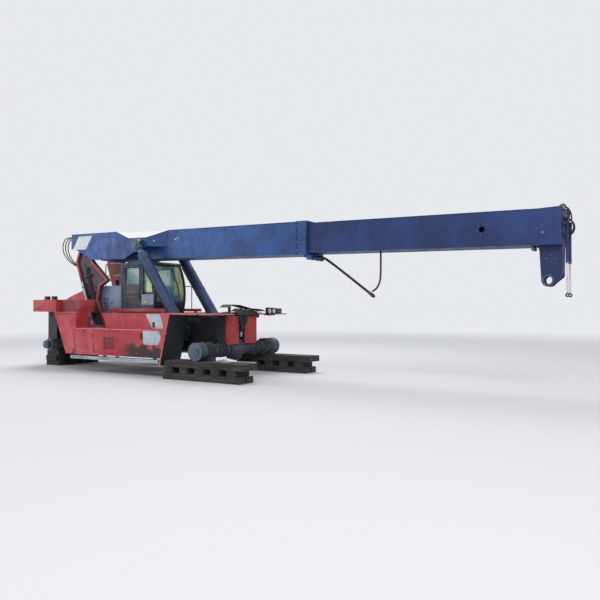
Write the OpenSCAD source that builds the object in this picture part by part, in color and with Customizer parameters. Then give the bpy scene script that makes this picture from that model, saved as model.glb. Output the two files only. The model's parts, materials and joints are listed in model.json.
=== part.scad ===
// Reach stacker with its drive and steer wheels off, standing on timber stacks.
// Lengths are forward of the drive axle (minus is behind it), to the left, and above the ground.
// The finished part is moved along its length so that its origin is under its middle.

/* [Stance] */
// Distance between the drive axle and the steering axle
wheelbase = 6000; // [5800:50:6200]
// Height of one layer of timbers
timber_h = 156; // [140:2:170]
// Width of one timber
timber_w = 250; // [220:5:270]
// Length of the front timber stacks
stack_len = 2400; // [2200:50:2900]
// Width across one front timber stack
stack_w = 550; // [540:5:600]
// Width over both front timber stacks
stack_span = 3500; // [3490:5:3520]

/* [Axles] */
// Diameter of a front hub
hub_d = 452; // [430:2:460]
// Gap between a front hub and the timber under it
hub_gap = 6; // [5:1:20]
// Width over the faces of the front hubs
hub_span = 3370; // [3340:5:3400]
// Diameter of a brake housing
brake_d = 420; // [380:5:430]
// Diameter of the drive axle's tubes
axle_tube_d = 300; // [260:5:310]
// Diameter of the drive axle's spindles
spindle_d = 180; // [150:5:200]
// Diameter of a rear hub
rear_hub_d = 340; // [300:5:360]
// Distance between the two kingpins of the steering axle
kingpin_span = 2300; // [2200:10:2340]
// Diameter of a kingpin
kingpin_d = 90; // [70:5:110]

/* [Chassis] */
// Width over the two chassis beams
beam_span = 1300; // [1290:5:1320]
// Width of one chassis beam
beam_w = 200; // [170:5:220]
// Height of the underside of the chassis beams
beam_low = 620; // [580:10:660]
// Height of the top of the beams behind the cab
beam_top = 1200; // [1180:5:1220]
// Height of the top of the beams at the drive axle
beam_nose_top = 1560; // [1540:5:1580]
// Thickness of the red plates that close the front of the chassis
front_plate_t = 40; // [20:2:50]

/* [Body] */
// Width over the side boxes and the front fenders
body_w = 3460; // [3440:5:3470]
// Distance between the inner walls of the two side boxes
bay_w = 2000; // [1980:5:2020]
// Height of the underside of the side boxes
box_low = 500; // [490:5:520]
// Height of the step between the lower and upper side boxes
box_mid = 1220; // [1180:10:1260]
// Height of the top of the side boxes
box_top = 1645; // [1620:5:1660]
// Thickness of the side boxes' plates and of the locker doors
box_wall = 30; // [20:2:40]
// Gap round a locker door
door_gap = 8; // [6:1:12]
// Diameter of the barrels of the door hinges
hinge_d = 18; // [16:1:20]
// Length of a locker door
locker_len = 1000; // [900:20:1060]
// Height of the step rail under the side boxes
rail_h = 90; // [60:5:100]
// Thickness of the front fenders' plates
fender_t = 30; // [20:2:40]
// Height of the top of the counterweight
weight_top = 2020; // [1980:10:2060]
// Height of the underside of the counterweight over the steer wheels
weight_arch = 1670; // [1640:10:1700]
// Distance from the drive axle to the back of the counterweight
weight_back = 7050; // [6990:10:7100]

/* [Cab] */
// Width of the cab
cab_w = 1280; // [1240:10:1290]
// Height of the underside of the cab
cab_low = 1450; // [1430:5:1470]
// Height of the cab's roof
cab_high = 3080; // [3040:10:3090]
// Thickness of the cab's walls and doors
cab_wall = 40; // [30:2:50]
// Thickness of the cab's glass
glass_t = 8; // [6:1:12]

/* [Boom] */
// Distance from the boom's pivot back to the drive axle
pivot_back = 5300; // [5250:10:5350]
// Height of the boom's pivot
pivot_z = 3620; // [3600:5:3650]
// Angle by which the boom points down at rest
boom_pitch = 1.1; // [1:0.05:1.2]
// Height of the outer boom
outer_h = 800; // [790:5:820]
// Width of the outer boom
outer_w = 780; // [770:5:800]
// Thickness of the boom's plates
boom_wall = 20; // [12:1:24]
// Distance from the pivot to the mouth of the outer boom
outer_len = 7700; // [7600:20:7800]
// Height of the inner boom
inner_h = 720; // [700:5:730]
// Width of the inner boom
inner_w = 700; // [680:5:710]
// Length of inner boom that stays inside the outer boom at rest
inner_lap = 2300; // [2200:20:2400]
// Length of inner boom that shows between the outer boom's mouth and the head
inner_show = 5280; // [5200:20:5340]
// Diameter of the boom's pivot pins
pivot_d = 150; // [120:5:170]
// Diameter of the head's bore for the spreader's pin
head_bore_d = 160; // [130:5:180]
// Width over the head's two ears
head_w = 320; // [300:5:400]
// Thickness of one head ear
ear_t = 60; // [40:5:80]

/* [Cylinders] */
// Distance between the middles of the two lift cylinders
lift_span = 1620; // [1610:2:1640]
// Outer diameter of a lift cylinder
lift_d = 280; // [250:5:290]
// Diameter of a lift cylinder's rod
lift_rod_d = 170; // [140:5:174]
// Diameter of the pins at both ends of a lift cylinder
lift_pin_d = 120; // [100:5:130]
// Distance from the drive axle back to a lift cylinder's foot
lift_foot_back = 1150; // [1130:5:1170]
// Height of a lift cylinder's foot
lift_foot_z = 1140; // [1130:5:1160]
// Diameter of a damper's barrel at the boom's head
damper_d = 60; // [50:2:66]
// Length of a damper's barrel
damper_len = 790; // [760:10:820]
// Distance between the two dampers
damper_span = 340; // [320:10:360]

/* [Hoses] */
// Diameter of the thick hose that hangs under the boom
hose_d = 60; // [50:2:66]
// Diameter of the thick rope that holds the hose's end up
rope_d = 44; // [30:2:50]
// Diameter of the small hoses at the boom's two ends
small_hose_d = 30; // [24:1:36]

/* [Hidden] */
$fn = 64;

// Clearance of a shaft or pin in its bore, and of a piece on its runner
run_gap = 0.08;
slide_gap = 0.3;
// Room kept between pieces that move past each other
clear = 6;

// Timbers and axles
timber_layers = 3;
timber_top = timber_h * timber_layers;
axle_z = timber_top + hub_gap + hub_d / 2;
hub_len = 230;
hub_face = hub_span / 2;
hub_back = hub_face - hub_len;
brake_len = 300;
spindle_len = 150;
banjo_d = 600;
banjo_back = 130;

// Steering axle
steer_block_h = 200;
steer_beam_d = 260;
fork_t = 44;
fork_gap = 10;
steer_spindle_d = 120;
steer_spindle_len = 150;
steer_eye_d = 190;
kingpin_y = kingpin_span / 2;

// Chassis
beam_out = beam_span / 2;
beam_in = beam_out - beam_w;
nose_x = 120;
nose_low = 960;
plate_low = 830;
plate_in = 140;
beam_rear_low = 900;
beam_back = wheelbase + 400;

// Counterweight
weight_front = wheelbase - 750;
weight_half = 1700;
weight_core_half = 800;
weight_core_back = 6900;
weight_core_front = beam_back;
weight_core_top = weight_arch;
weight_corner = 1100;
hood_half = 520;
hood_wall = 20;

// Masts, which carry the boom
mast_in = 530;
mast_out = 665;
mast_boss_d = 420;

// Side boxes
box_out = body_w / 2;
bay_half = bay_w / 2;
box_back = -4760;
pillar_in = 1300;
pillar_back = -5280;
pillar_front = -4340;
step_back = -4450;
upper_back = -3420;
upper_slant = 200;
recess_out = 1550;
upper_out = 1600;
locker_x = -3620;
locker_low = box_low + 60;
locker_high = box_mid - 60;
locker_depth = 450;
hinge_len = 120;
hinge_reach = 50;
hinge_pin_d = 8;
locker_hinge_z = [locker_low + 120, locker_high - 120];

// Front fenders, whose tops fall a little towards their tips
fender_back = -830;
fender_tip = 420;
fender_fall = 14;
fender_foot = -1160;
fender_foot_z = 310;
function fender_z(x) = box_top - 5 - fender_fall * (x - fender_back) / (fender_tip - fender_back);
// Where the back of a fender's sloping plate is at a height
function arch_x(z) = fender_foot + (fender_back - fender_foot) * (z - fender_foot_z)
    / (fender_z(fender_back) - fender_foot_z);

// Cab
cab_half = cab_w / 2;
cab_back = -3740;
cab_front = -2650;
screen_r = 1806;
screen_x = cab_front - 1564;
screen_z = 2176;
door_back = -3620;
door_len = 700;
door_low = 1800;
door_high = cab_high - 80;
door_hinge_z = [door_low + 180, door_high - 180];
rear_box_half = 500;
rail_in = cab_half + 5;
cab_rail_w = 55;
cab_rail_low = 1675;
cab_rail_h = 85;

// Boom, in its own frame: along it from the pivot, and up from its middle
outer_top = outer_h / 2;
outer_side = outer_w / 2;
inner_top = inner_h / 2;
inner_side = inner_w / 2;
tail_back = 550;
belly_start = 440;
tail_plate_t = 30;
tail_plate_in = 680;
tail_out = tail_plate_in + tail_plate_t;
gland_low = 210;
roof_a = 1440;
roof_b = 1940;
roof_end = 2640;
roof_tip = 3170;
roof_c = 190;
inner_start = outer_len - inner_lap;
head_start = outer_len + inner_show;
head_len = 440;
head_face_a = head_start + head_len;
head_top = 385;
bore_a = head_start + 175;
bore_c = -1047;
ear_r = 125;
head_fillet = 90;
port_d = 120;
port_back = 1090;
collar_len = 310;
collar_t = 12;

// Lift cylinders
lift_y = lift_span / 2;
lift_top_a = 2390.5;
lift_top_c = -4;
lift_eye_t = 150;
lift_eye_d = 300;
lift_foot_t = 130;
lift_foot_d = 340;
lift_bore_d = 230;
lift_gland = 70;
lift_barrel_len = 2640;
lift_piston_len = 60;
lift_piston_rest = 200;
lift_barrel_start = 165;

// Height and distance from the drive axle of a point given in the boom's frame
function boom_x(a, c) = -pivot_back + a * cos(boom_pitch) + c * sin(boom_pitch);
function boom_z(a, c) = pivot_z - a * sin(boom_pitch) + c * cos(boom_pitch);
lift_dx = boom_x(lift_top_a, lift_top_c) + lift_foot_back;
lift_dz = boom_z(lift_top_a, lift_top_c) - lift_foot_z;
lift_closed = sqrt(lift_dx * lift_dx + lift_dz * lift_dz);
lift_lean = atan2(lift_dx, lift_dz);

// Dampers, which hang straight down from the head's face
damper_out = 75;
damper_c = 80;
damper_x = boom_x(head_face_a + damper_out, damper_c);
damper_top_z = boom_z(head_face_a + damper_out, damper_c);
damper_rod_d = 36;
damper_rod_show = 600;
damper_rod_lap = 180;
damper_eye_d = 80;
damper_eye_t = 44;
damper_top_t = damper_d + 8;
damper_pin_d = 30;
damper_y = damper_span / 2;

// Head hoses, whose loops are the part's foremost point
head_loop_r = 180;
front_reach = boom_x(head_face_a, 0) + head_loop_r + small_hose_d / 2;
shift_x = (weight_back - front_reach) / 2;

// Routes of the hanging hose and of its rope, from the drive axle, in millimetres
hose_points = [
    [2452.9, 0, 3031], [2500, 0, 3030.1], [2570, 0, 3022], [2700, 0, 2970], [2900, 0, 2838], [3200, 0,
        2622],
    [3500, 0, 2402], [3800, 0, 2180], [3930, 0, 2085]
];
rope_points = [
    [4160, 0, 3077.2], [4163, 0, 2900], [4158, 0, 2600], [4140, 0, 2400], [4065, 0, 2245], [3950, 0, 2160]
];

tail_hose_points = [
    [-5866, 0, 3925], [-6050, 0, 3950], [-6250, 0, 3890], [-6340, 0, 3720], [-6300, 0, 3500],
    [-6140, 0, 3310], [-5900, 0, 3150], [-5665, 0, 3050]
];

// Moves the part's pieces so that its origin is under its middle
module placed() {
    translate([shift_x, 0, 0]) children();
}

// Draws its children in the boom's own frame
module on_boom() {
    placed() translate([-pivot_back, 0, pivot_z]) rotate([0, boom_pitch, 0]) children();
}

// Extrudes an outline of length and height from one distance to the left to another
module slab(y0, y1) {
    translate([0, y1, 0]) rotate([90, 0, 0]) linear_extrude(y1 - y0) children();
}

// A box given by its lowest and highest corners
module block(low, high) {
    translate(low) cube(high - low);
}

// A round bar along the width, from one distance to the left to another
module bar_y(x, z, d, y0, y1) {
    translate([x, y1, z]) rotate([90, 0, 0]) cylinder(d = d, h = y1 - y0);
}

// Draws a left-hand piece on both sides
module both_sides() {
    children();
    mirror([0, 1, 0]) children();
}

// Draws a left-hand piece on the right
module on_right() {
    mirror([0, 1, 0]) children();
}

// The chassis: two beams, their front plates, cross members and outriggers
module beam_outline() {
    polygon([
        [nose_x, nose_low], [nose_x, beam_nose_top], [-900, beam_nose_top], [-1700, beam_top],
        [-beam_back, beam_top], [-beam_back, beam_rear_low], [-5300, beam_rear_low],
        [-4950, beam_low], [-700, beam_low], [-250, nose_low]
    ]);
}

module chassis_beam() {
    slab(beam_in, beam_out) beam_outline();
}

module front_plate() {
    corner = 60;
    hole_d = 40;
    translate([nose_x, 0, 0]) rotate([90, 0, 90]) linear_extrude(front_plate_t) difference() {
        union() {
            translate([plate_in, plate_low + corner])
                square([beam_out - plate_in, beam_nose_top - plate_low - corner]);
            for (y = [plate_in + corner, beam_out - corner])
                translate([y, plate_low + corner]) circle(r = corner);
            translate([plate_in + corner, plate_low]) square([beam_out - plate_in - 2 * corner, corner]);
        }
        translate([beam_out - corner, plate_low + 2 * corner]) circle(d = hole_d);
    }
}

// Two lugs on a beam's outer face that hold a lift cylinder's foot pin
module lift_lugs() {
    lug_t = 30;
    lug_r = 150;
    shelf = 55;
    inner = lift_y - lift_foot_t / 2 - clear - lug_t;
    outer = lift_y + lift_foot_t / 2 + clear;
    shelf_z = lift_foot_z - lift_foot_d / 2 - clear - shelf;
    bar_y(-lift_foot_back, lift_foot_z, 2 * lug_r, beam_out, inner + lug_t);
    bar_y(-lift_foot_back, lift_foot_z, lift_pin_d, inner, outer + lug_t);
    slab(outer, outer + lug_t) union() {
        translate([-lift_foot_back, lift_foot_z]) circle(r = lug_r);
        translate([-lift_foot_back - lug_r, shelf_z]) square([2 * lug_r, lift_foot_z - shelf_z]);
    }
    block([-lift_foot_back - lug_r, beam_out, shelf_z], [-lift_foot_back + lug_r, outer + lug_t,
        shelf_z + shelf]);
}

module chassis() {
    cross_h = 260;
    cross_len = 240;
    outrigger_z = 650;
    outrigger_h = 120;
    outrigger_len = 160;
    color("firebrick") placed() union() {
        both_sides() {
            chassis_beam();
            front_plate();
            lift_lugs();
            for (x = [-4200, -2900, -1500])
                block([x, beam_in, outrigger_z], [x + outrigger_len, bay_half, outrigger_z + outrigger_h]);
        }
        for (x = [-900, -1900, -3100, -4600])
            block([x, -beam_in, beam_top - cross_h], [x + cross_len, beam_in, beam_top]);
    }
}

// The counterweight: a core that stands on timbers, and a slab over the steer wheels
module weight_slab_outline() {
    corner = weight_corner;
    intersection() {
        translate([-weight_back, -weight_half]) square([weight_back - weight_front, 2 * weight_half]);
        union() {
            translate([-weight_back + corner, -weight_half]) square([weight_back, 2 * weight_half]);
            translate([-weight_back, -weight_half + corner]) square([corner, 2 * (weight_half - corner)]);
            for (y = [-1, 1])
                translate([-weight_back + corner, y * (weight_half - corner)]) circle(r = corner);
        }
    }
}

module counterweight() {
    core_corner = 120;
    color("brown") placed() difference() {
        union() {
            translate([0, 0, weight_arch]) linear_extrude(weight_top - weight_arch) weight_slab_outline();
            translate([0, 0, timber_top]) linear_extrude(weight_core_top - timber_top) union() {
                translate([-weight_core_back + core_corner, -weight_core_half])
                    square([weight_core_back - weight_core_front - core_corner, 2 * weight_core_half]);
                translate([-weight_core_back, -weight_core_half + core_corner])
                    square([core_corner, 2 * (weight_core_half - core_corner)]);
                for (y = [-1, 1])
                    translate([-weight_core_back + core_corner, y * (weight_core_half - core_corner)])
                        circle(r = core_corner);
            }
        }
        block([-beam_back, -hood_half + hood_wall, weight_arch - 1], [0, hood_half - hood_wall,
            weight_top + 1]);
    }
}

module engine() {
    half = beam_in + 30;
    color("dimgray") placed() block([-6200, -half, beam_top], [-4900, half, 1900]);
}

// The hood over the engine, open below
module hood_outline(back, front, top_drop, side_low) {
    polygon([
        [back, weight_top], [back + 230, weight_top + 100 - top_drop], [-5480, 2330 - top_drop],
        [front, 2340 - top_drop], [front, side_low], [-weight_front + 20, side_low],
        [-weight_front + 20, weight_top]
    ]);
}

module engine_hood() {
    back = -beam_back;
    front = -4750;
    color("firebrick") placed() difference() {
        slab(-hood_half, hood_half) hood_outline(back, front, 0, beam_top);
        slab(-hood_half + hood_wall, hood_half - hood_wall)
            polygon([
                [back + 60, weight_top - 1], [back + 245, weight_top + 80], [-5478, 2310],
                [front - hood_wall, 2320], [front - hood_wall, beam_top - 1],
                [-weight_front + 20 + hood_wall, beam_top - 1], [-weight_front + 20 + hood_wall,
                    weight_top - 1]
            ]);
        block([back, -hood_half + hood_wall, beam_top - 1],
            [front - hood_wall, hood_half - hood_wall, weight_top]);
    }
}

// One mast: a leg with a channel in its outer side and the boom's pivot bore at its top
module mast_outline(inset) {
    px = -pivot_back;
    offset(delta = -inset) union() {
        polygon([
            [px - mast_boss_d / 2, pivot_z], [px - 400, pivot_z - 430], [px - 80, pivot_z - 1290],
            [-4840, beam_top], [-4320, beam_top], [-4710, 2020], [-4620, 2430], [-4280, 2600],
            [px + 320, pivot_z - 430], [px + mast_boss_d / 2, pivot_z]
        ]);
    }
}

module mast() {
    channel = 60;
    rim = 70;
    difference() {
        union() {
            slab(mast_in, mast_out) mast_outline(0);
            bar_y(-pivot_back, pivot_z, mast_boss_d, mast_in, mast_out);
        }
        difference() {
            slab(mast_out - channel, mast_out + 1) mast_outline(rim);
            bar_y(-pivot_back, pivot_z, mast_boss_d, mast_in - 1, mast_out + 2);
        }
        bar_y(-pivot_back, pivot_z, pivot_d + 2 * run_gap, mast_in - 1, mast_out + 1);
    }
}

module mast_left() {
    color("firebrick") placed() mast();
}

module mast_right() {
    color("firebrick") placed() on_right() mast();
}

// The pale pipe that climbs beside the right mast
module mast_pipe() {
    pipe_d = 80;
    low = [-4870, 1300];
    high = [-5360, 2560];
    run = sqrt(pow(high[0] - low[0], 2) + pow(high[1] - low[1], 2));
    lean = atan2(high[0] - low[0], high[1] - low[1]);
    y = mast_out + pipe_d / 2 + slide_gap;
    color("silver") placed() difference() {
        translate([low[0], -y, low[1]]) rotate([0, lean, 0]) cylinder(d = pipe_d, h = run);
        translate([low[0], -y, low[1]]) rotate([0, lean, 0])
            translate([0, 0, run - 120]) cylinder(d = pipe_d - 12, h = 121);
    }
}

// A hinge on a left-hand face: the post has two knuckles and the pin, the leaf turns between them
module hinge_post(x, face, z) {
    knuckle = hinge_len / 3;
    for (side = [-1, 1]) {
        translate([x, face + hinge_d / 2, z + side * knuckle - knuckle / 2])
            cylinder(d = hinge_d, h = knuckle);
        translate([x - hinge_reach, face, z + side * knuckle - knuckle / 2])
            cube([hinge_reach, hinge_d / 2, knuckle]);
    }
    translate([x, face + hinge_d / 2, z - knuckle]) cylinder(d = hinge_pin_d, h = 2 * knuckle);
}

module hinge_leaf(x, face, z) {
    knuckle = hinge_len / 3 - 2;
    difference() {
        union() {
            translate([x, face + hinge_d / 2, z - knuckle / 2]) cylinder(d = hinge_d, h = knuckle);
            translate([x, face, z - knuckle / 2]) cube([hinge_reach, hinge_d / 2, knuckle]);
        }
        translate([x, face + hinge_d / 2, z - knuckle])
            cylinder(d = hinge_pin_d + 2 * run_gap, h = 2 * knuckle);
    }
}

// One side box: a lower box with a locker in it, a narrower upper box, and a pillar that
// rises to the counterweight with a recessed panel above it
module side_box() {
    color("firebrick") placed() children();
}

module side_box_solid() {
    difference() {
        union() {
            slab(bay_half, box_out) polygon([
                [box_back, box_low], [step_back, box_mid], [arch_x(box_mid) - slide_gap, box_mid],
                [arch_x(box_low) - slide_gap, box_low]
            ]);
            slab(pillar_in, box_out) polygon([
                [box_back, box_low], [pillar_back, weight_arch - slide_gap],
                [pillar_front, weight_arch - slide_gap], [pillar_front, box_mid], [step_back + 200, box_low]
            ]);
            slab(bay_half, upper_out) polygon([
                [upper_back + upper_slant, box_mid], [upper_back, box_top],
                    [arch_x(box_top) - slide_gap - 3, box_top],
                [arch_x(box_mid) - slide_gap, box_mid]
            ]);
            block([-weight_front + 10, bay_half, weight_arch - slide_gap - 1], [step_back + 30,
                recess_out, weight_top]);
        }
        block([locker_x, box_out - locker_depth, locker_low], [locker_x + locker_len, box_out + 1,
            locker_high]);
    }
    for (z = locker_hinge_z) hinge_post(locker_x + door_gap / 2, box_out, z);
}

module side_box_left() {
    side_box() side_box_solid();
}

module side_box_right() {
    side_box() on_right() side_box_solid();
}

module locker_door_solid() {
    handle = [60, 18, 90];
    block([locker_x + door_gap, box_out - box_wall, locker_low + door_gap],
        [locker_x + locker_len - door_gap, box_out, locker_high - door_gap]);
    translate([locker_x + locker_len - 150, box_out, (locker_low + locker_high) / 2]) cube(handle);
    for (z = locker_hinge_z) hinge_leaf(locker_x + door_gap / 2, box_out, z);
}

module locker_door_left() {
    color("firebrick") placed() locker_door_solid();
}

module locker_door_right() {
    color("firebrick") placed() on_right() locker_door_solid();
}

// The two front fenders: a flat top and a sloping rear plate
module front_fenders() {
    top = fender_z(fender_back);
    tip = fender_tip;
    color("firebrick") placed() both_sides() union() {
        slab(bay_half, box_out) polygon([
            [fender_back, top], [tip, top - fender_fall], [tip, top - fender_fall - fender_t],
            [fender_back + fender_t, top - fender_t], [fender_foot + fender_t, fender_foot_z],
            [fender_foot, fender_foot_z]
        ]);
        slab(beam_out, bay_half) polygon([
            [fender_back, top], [tip, top - fender_fall], [tip, top - fender_fall - fender_t],
                [fender_back, top - fender_t]
        ]);
        block([fender_back + 30, beam_out, top - fender_t - 100], [0, bay_half, top - fender_t]);
    }
}

// The step rails under the side boxes, each in two lengths on hangers
module step_rails() {
    rail_w = 160;
    hanger = 60;
    low = box_low - 40 - rail_h;
    color("silver") placed() both_sides()
        for (run = [[-4560, -3060], [-3040, -1190]]) {
            block([run[0], box_out - rail_w, low], [run[1], box_out, low + rail_h]);
            for (x = [run[0] + 200, run[1] - 200 - hanger])
                block([x, box_out - rail_w, low + rail_h], [x + hanger, box_out - rail_w / 2, box_low]);
        }
}

// Loose black sheets and the lamp boxes that are left over the front of the chassis
module front_cover() {
    sheet_t = 12;
    sheet_x = -190;
    sheet_len = 330;
    bend = [[-500, 1800], [-380, 1868], [-60, 1856], [420, 1770], [820, 1752], [1120, 1700]];
    color("black") placed() union() {
        block([-150, -600, beam_nose_top], [nose_x, 600, beam_nose_top + 90]);
        for (y = [-330, 380])
            block([-60, y, beam_nose_top + 90], [-10, y + 60, y < 0 ? 1860 : 1772]);
        translate([sheet_x, 0, 0]) rotate([90, 0, 90]) linear_extrude(sheet_len)
            polygon(concat(bend, [for (i = [len(bend) - 1:-1:0]) bend[i] - [0, sheet_t]]));
        block([200, 1150, fender_z(200) + slide_gap], [380, 1560, fender_z(200) + 140]);
    }
}

// The drive axle: a round middle, tubes, brake housings and spindles
module drive_axle() {
    rib_d = brake_d;
    tube_out = hub_back - brake_len;
    color("dimgray") placed() union() {
        translate([-banjo_back, 0, axle_z]) sphere(d = banjo_d);
        bar_y(0, axle_z, axle_tube_d, -tube_out - 1, tube_out + 1);
        both_sides() {
            bar_y(0, axle_z, brake_d - 40, tube_out, hub_back - clear);
            for (i = [0:4])
                bar_y(0, axle_z, brake_d, tube_out + 20 + i * 52, tube_out + 20 + i * 52 + 26);
            bar_y(0, axle_z, spindle_d, hub_back - clear - 1, hub_back + spindle_len);
            block([-140, beam_in, axle_z], [nose_x, beam_out, nose_low]);
        }
    }
}

// A front hub: its bore turns on the spindle, and its face has the wheel studs' holes
module hub_front() {
    studs = 10;
    stud_d = 22;
    stud_circle = 380;
    cap_d = 220;
    placed() difference() {
        union() {
            bar_y(0, axle_z, hub_d, hub_back, hub_face);
            bar_y(0, axle_z, cap_d, hub_face - 1, hub_face + 25);
        }
        bar_y(0, axle_z, spindle_d + 2 * run_gap, hub_back - 1, hub_back + spindle_len + clear);
        for (i = [0:studs - 1])
            translate([0, hub_face + 1, axle_z]) rotate([90, i * 360 / studs, 0])
                translate([stud_circle / 2, 0, 0]) cylinder(d = stud_d, h = 61);
    }
}

module hub_front_left() {
    color("dimgray") hub_front();
}

module hub_front_right() {
    color("dimgray") on_right() hub_front();
}

// The steering axle: a beam with round kingpin eyes at its ends
module steer_axle() {
    pad_low = axle_z + steer_beam_d / 2 - 20;
    color("dimgray") placed() difference() {
        union() {
            block([-wheelbase - steer_beam_d / 2, -kingpin_y + steer_eye_d / 2 + 5,
                axle_z - steer_beam_d / 2 + 20],
                [-wheelbase + steer_beam_d / 2, kingpin_y - steer_eye_d / 2 - 5,
                    axle_z + steer_beam_d / 2]);
            both_sides() {
                block([-wheelbase - 60, kingpin_y - steer_eye_d / 2 - 10, axle_z - steer_block_h / 2],
                    [-wheelbase + 60, kingpin_y - 40, axle_z + steer_block_h / 2]);
                translate([-wheelbase, kingpin_y, axle_z - steer_block_h / 2])
                    cylinder(d = steer_eye_d, h = steer_block_h);
                block([-wheelbase - 150, beam_in, pad_low], [-wheelbase + 150, beam_out, beam_rear_low]);
            }
            bar_y(-wheelbase - 220, axle_z, 130, -700, 700);
            block([-wheelbase - 220, -300, axle_z - 60], [-wheelbase, 300, axle_z + 60]);
        }
        both_sides() translate([-wheelbase, kingpin_y, axle_z - steer_block_h])
            cylinder(d = kingpin_d + 2 * run_gap, h = 2 * steer_block_h);
    }
}

// A knuckle: a fork over the kingpin eye, its kingpin, and the spindle for the hub
module knuckle() {
    plate_in_y = kingpin_y + steer_eye_d / 2 + fork_gap;
    plate_t = 45;
    fork_d = 200;
    fork_z = steer_block_h / 2 + clear;
    placed() union() {
        for (z = [axle_z + fork_z, axle_z - fork_z - fork_t])
            translate([0, 0, z]) linear_extrude(fork_t) union() {
                translate([-wheelbase, kingpin_y]) circle(d = fork_d);
                translate([-wheelbase - fork_d / 2, kingpin_y]) square([fork_d,
                    plate_in_y + plate_t - kingpin_y]);
            }
        block([-wheelbase - fork_d / 2, plate_in_y, axle_z - fork_z - fork_t],
            [-wheelbase + fork_d / 2, plate_in_y + plate_t, axle_z + fork_z + fork_t]);
        translate([-wheelbase, kingpin_y, axle_z - fork_z - 1]) cylinder(d = kingpin_d, h = 2 * fork_z + 2);
        bar_y(-wheelbase, axle_z, steer_spindle_d, plate_in_y + plate_t - 1,
            plate_in_y + plate_t + steer_spindle_len);
    }
}

module knuckle_left() {
    color("dimgray") knuckle();
}

module knuckle_right() {
    color("dimgray") on_right() knuckle();
}

module hub_rear() {
    start = kingpin_y + steer_eye_d / 2 + fork_gap + 45 + clear;
    hub_w = 180;
    studs = 8;
    stud_d = 18;
    stud_circle = 290;
    placed() difference() {
        union() {
            bar_y(-wheelbase, axle_z, rear_hub_d, start, start + 60);
            bar_y(-wheelbase, axle_z, rear_hub_d * 0.7, start, start + hub_w);
        }
        for (i = [0:studs - 1])
            translate([-wheelbase, start + 61, axle_z]) rotate([90, i * 360 / studs, 0])
                translate([stud_circle / 2, 0, 0]) cylinder(d = stud_d, h = 62);
        bar_y(-wheelbase, axle_z, steer_spindle_d + 2 * run_gap, start - 1, start + steer_spindle_len);
    }
}

module hub_rear_left() {
    color("dimgray") hub_rear();
}

module hub_rear_right() {
    color("dimgray") on_right() hub_rear();
}

// The rails that the cab stands between, with their posts and the cab's bearers
module cab_rails() {
    color("firebrick") placed() union() {
        both_sides() {
            block([-4200, rail_in, cab_rail_low], [-1850, rail_in + cab_rail_w, cab_rail_low + cab_rail_h]);
            for (x = [-3950, -2100]) {
                block([x, rail_in, beam_top], [x + 80, rail_in + cab_rail_w, cab_rail_low]);
                block([x, rear_box_half + 20, beam_top], [x + 80, rail_in + cab_rail_w, beam_top + 40]);
            }
        }
        for (x = [-3640, -2760])
            block([x, -cab_half, beam_top], [x + 100, cab_half, cab_low]);
    }
}

// The cab: a hollow shell with its windows and doorways cut out
module cab_outline(inset) {
    intersection() {
        translate([cab_back + inset, cab_low + inset])
            square([cab_front + 400 - cab_back, cab_high - cab_low - 2 * inset]);
        translate([screen_x, screen_z]) circle(r = screen_r - inset, $fn = 180);
    }
}

module screen_gap() {
    block([cab_front - 40, -cab_half + 60, 1560], [0, cab_half - 60, cab_high - 80]);
}

module cab_shell_solid() {
    w = cab_wall;
    difference() {
        slab(-cab_half, cab_half) cab_outline(0);
        slab(-cab_half + w, cab_half - w) cab_outline(w);
        block([cab_back - 1, -cab_half - 1, cab_high - w], [cab_front + 400, cab_half + 1, cab_high + 1]);
        both_sides() {
            block([door_back, cab_half - w - 1, door_low], [door_back + door_len, cab_half + 1, door_high]);
            block([door_back + door_len + 60, cab_half - w - 1, 1900], [cab_front - 50, cab_half + 1,
                door_high]);
        }
        block([cab_back - 1, -cab_half + 100, 2100], [cab_back + w + 1, cab_half - 100, door_high]);
        screen_gap();
    }
    both_sides() for (z = door_hinge_z) hinge_post(door_back + door_gap / 2, cab_half, z);
}

module cab_shell() {
    color("darkred") placed() cab_shell_solid();
}

module cab_roof() {
    color("darkred") placed() union() {
        block([cab_back, -cab_half, cab_high - cab_wall], [cab_front + 15, cab_half, cab_high]);
        block([cab_back + 120, -cab_half + 160, cab_high - 1], [cab_front - 160, cab_half - 160,
            cab_high + 25]);
    }
}

module cab_glass() {
    w = cab_wall;
    seat_in = 10;
    color("lightcyan") placed() union() {
        both_sides()
            block([door_back + door_len + 60, cab_half - w, 1900], [cab_front - 50,
                cab_half - w + glass_t, door_high]);
        block([cab_back, -cab_half + 100, 2100], [cab_back + glass_t, cab_half - 100, door_high]);
        intersection() {
            difference() {
                slab(-cab_half + 60, cab_half - 60) cab_outline(seat_in);
                slab(-cab_half, cab_half) cab_outline(seat_in + glass_t);
            }
            screen_gap();
        }
    }
}

module cab_door_solid() {
    g = door_gap;
    frame = 60;
    low = [door_back + g, cab_half - cab_wall, door_low + g];
    high = [door_back + door_len - g, cab_half, door_high - g];
    difference() {
        block(low, high);
        block([low[0] + frame, low[1] - 1, low[2] + 350], [high[0] - frame, high[1] + 1, high[2] - frame]);
    }
    for (z = door_hinge_z) hinge_leaf(door_back + door_gap / 2, cab_half, z);
}

module cab_door_left() {
    color("darkred") placed() cab_door_solid();
}

module cab_door_right() {
    color("darkred") placed() on_right() cab_door_solid();
}

module door_glass_solid() {
    g = door_gap;
    frame = 60;
    low = [door_back + g, cab_half - cab_wall, door_low + g];
    high = [door_back + door_len - g, cab_half, door_high - g];
    block([low[0] + frame, low[1] + 10, low[2] + 350], [high[0] - frame, low[1] + 10 + glass_t,
        high[2] - frame]);
}

module door_glass_left() {
    color("lightcyan") placed() door_glass_solid();
}

module door_glass_right() {
    color("lightcyan") placed() on_right() door_glass_solid();
}

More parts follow.
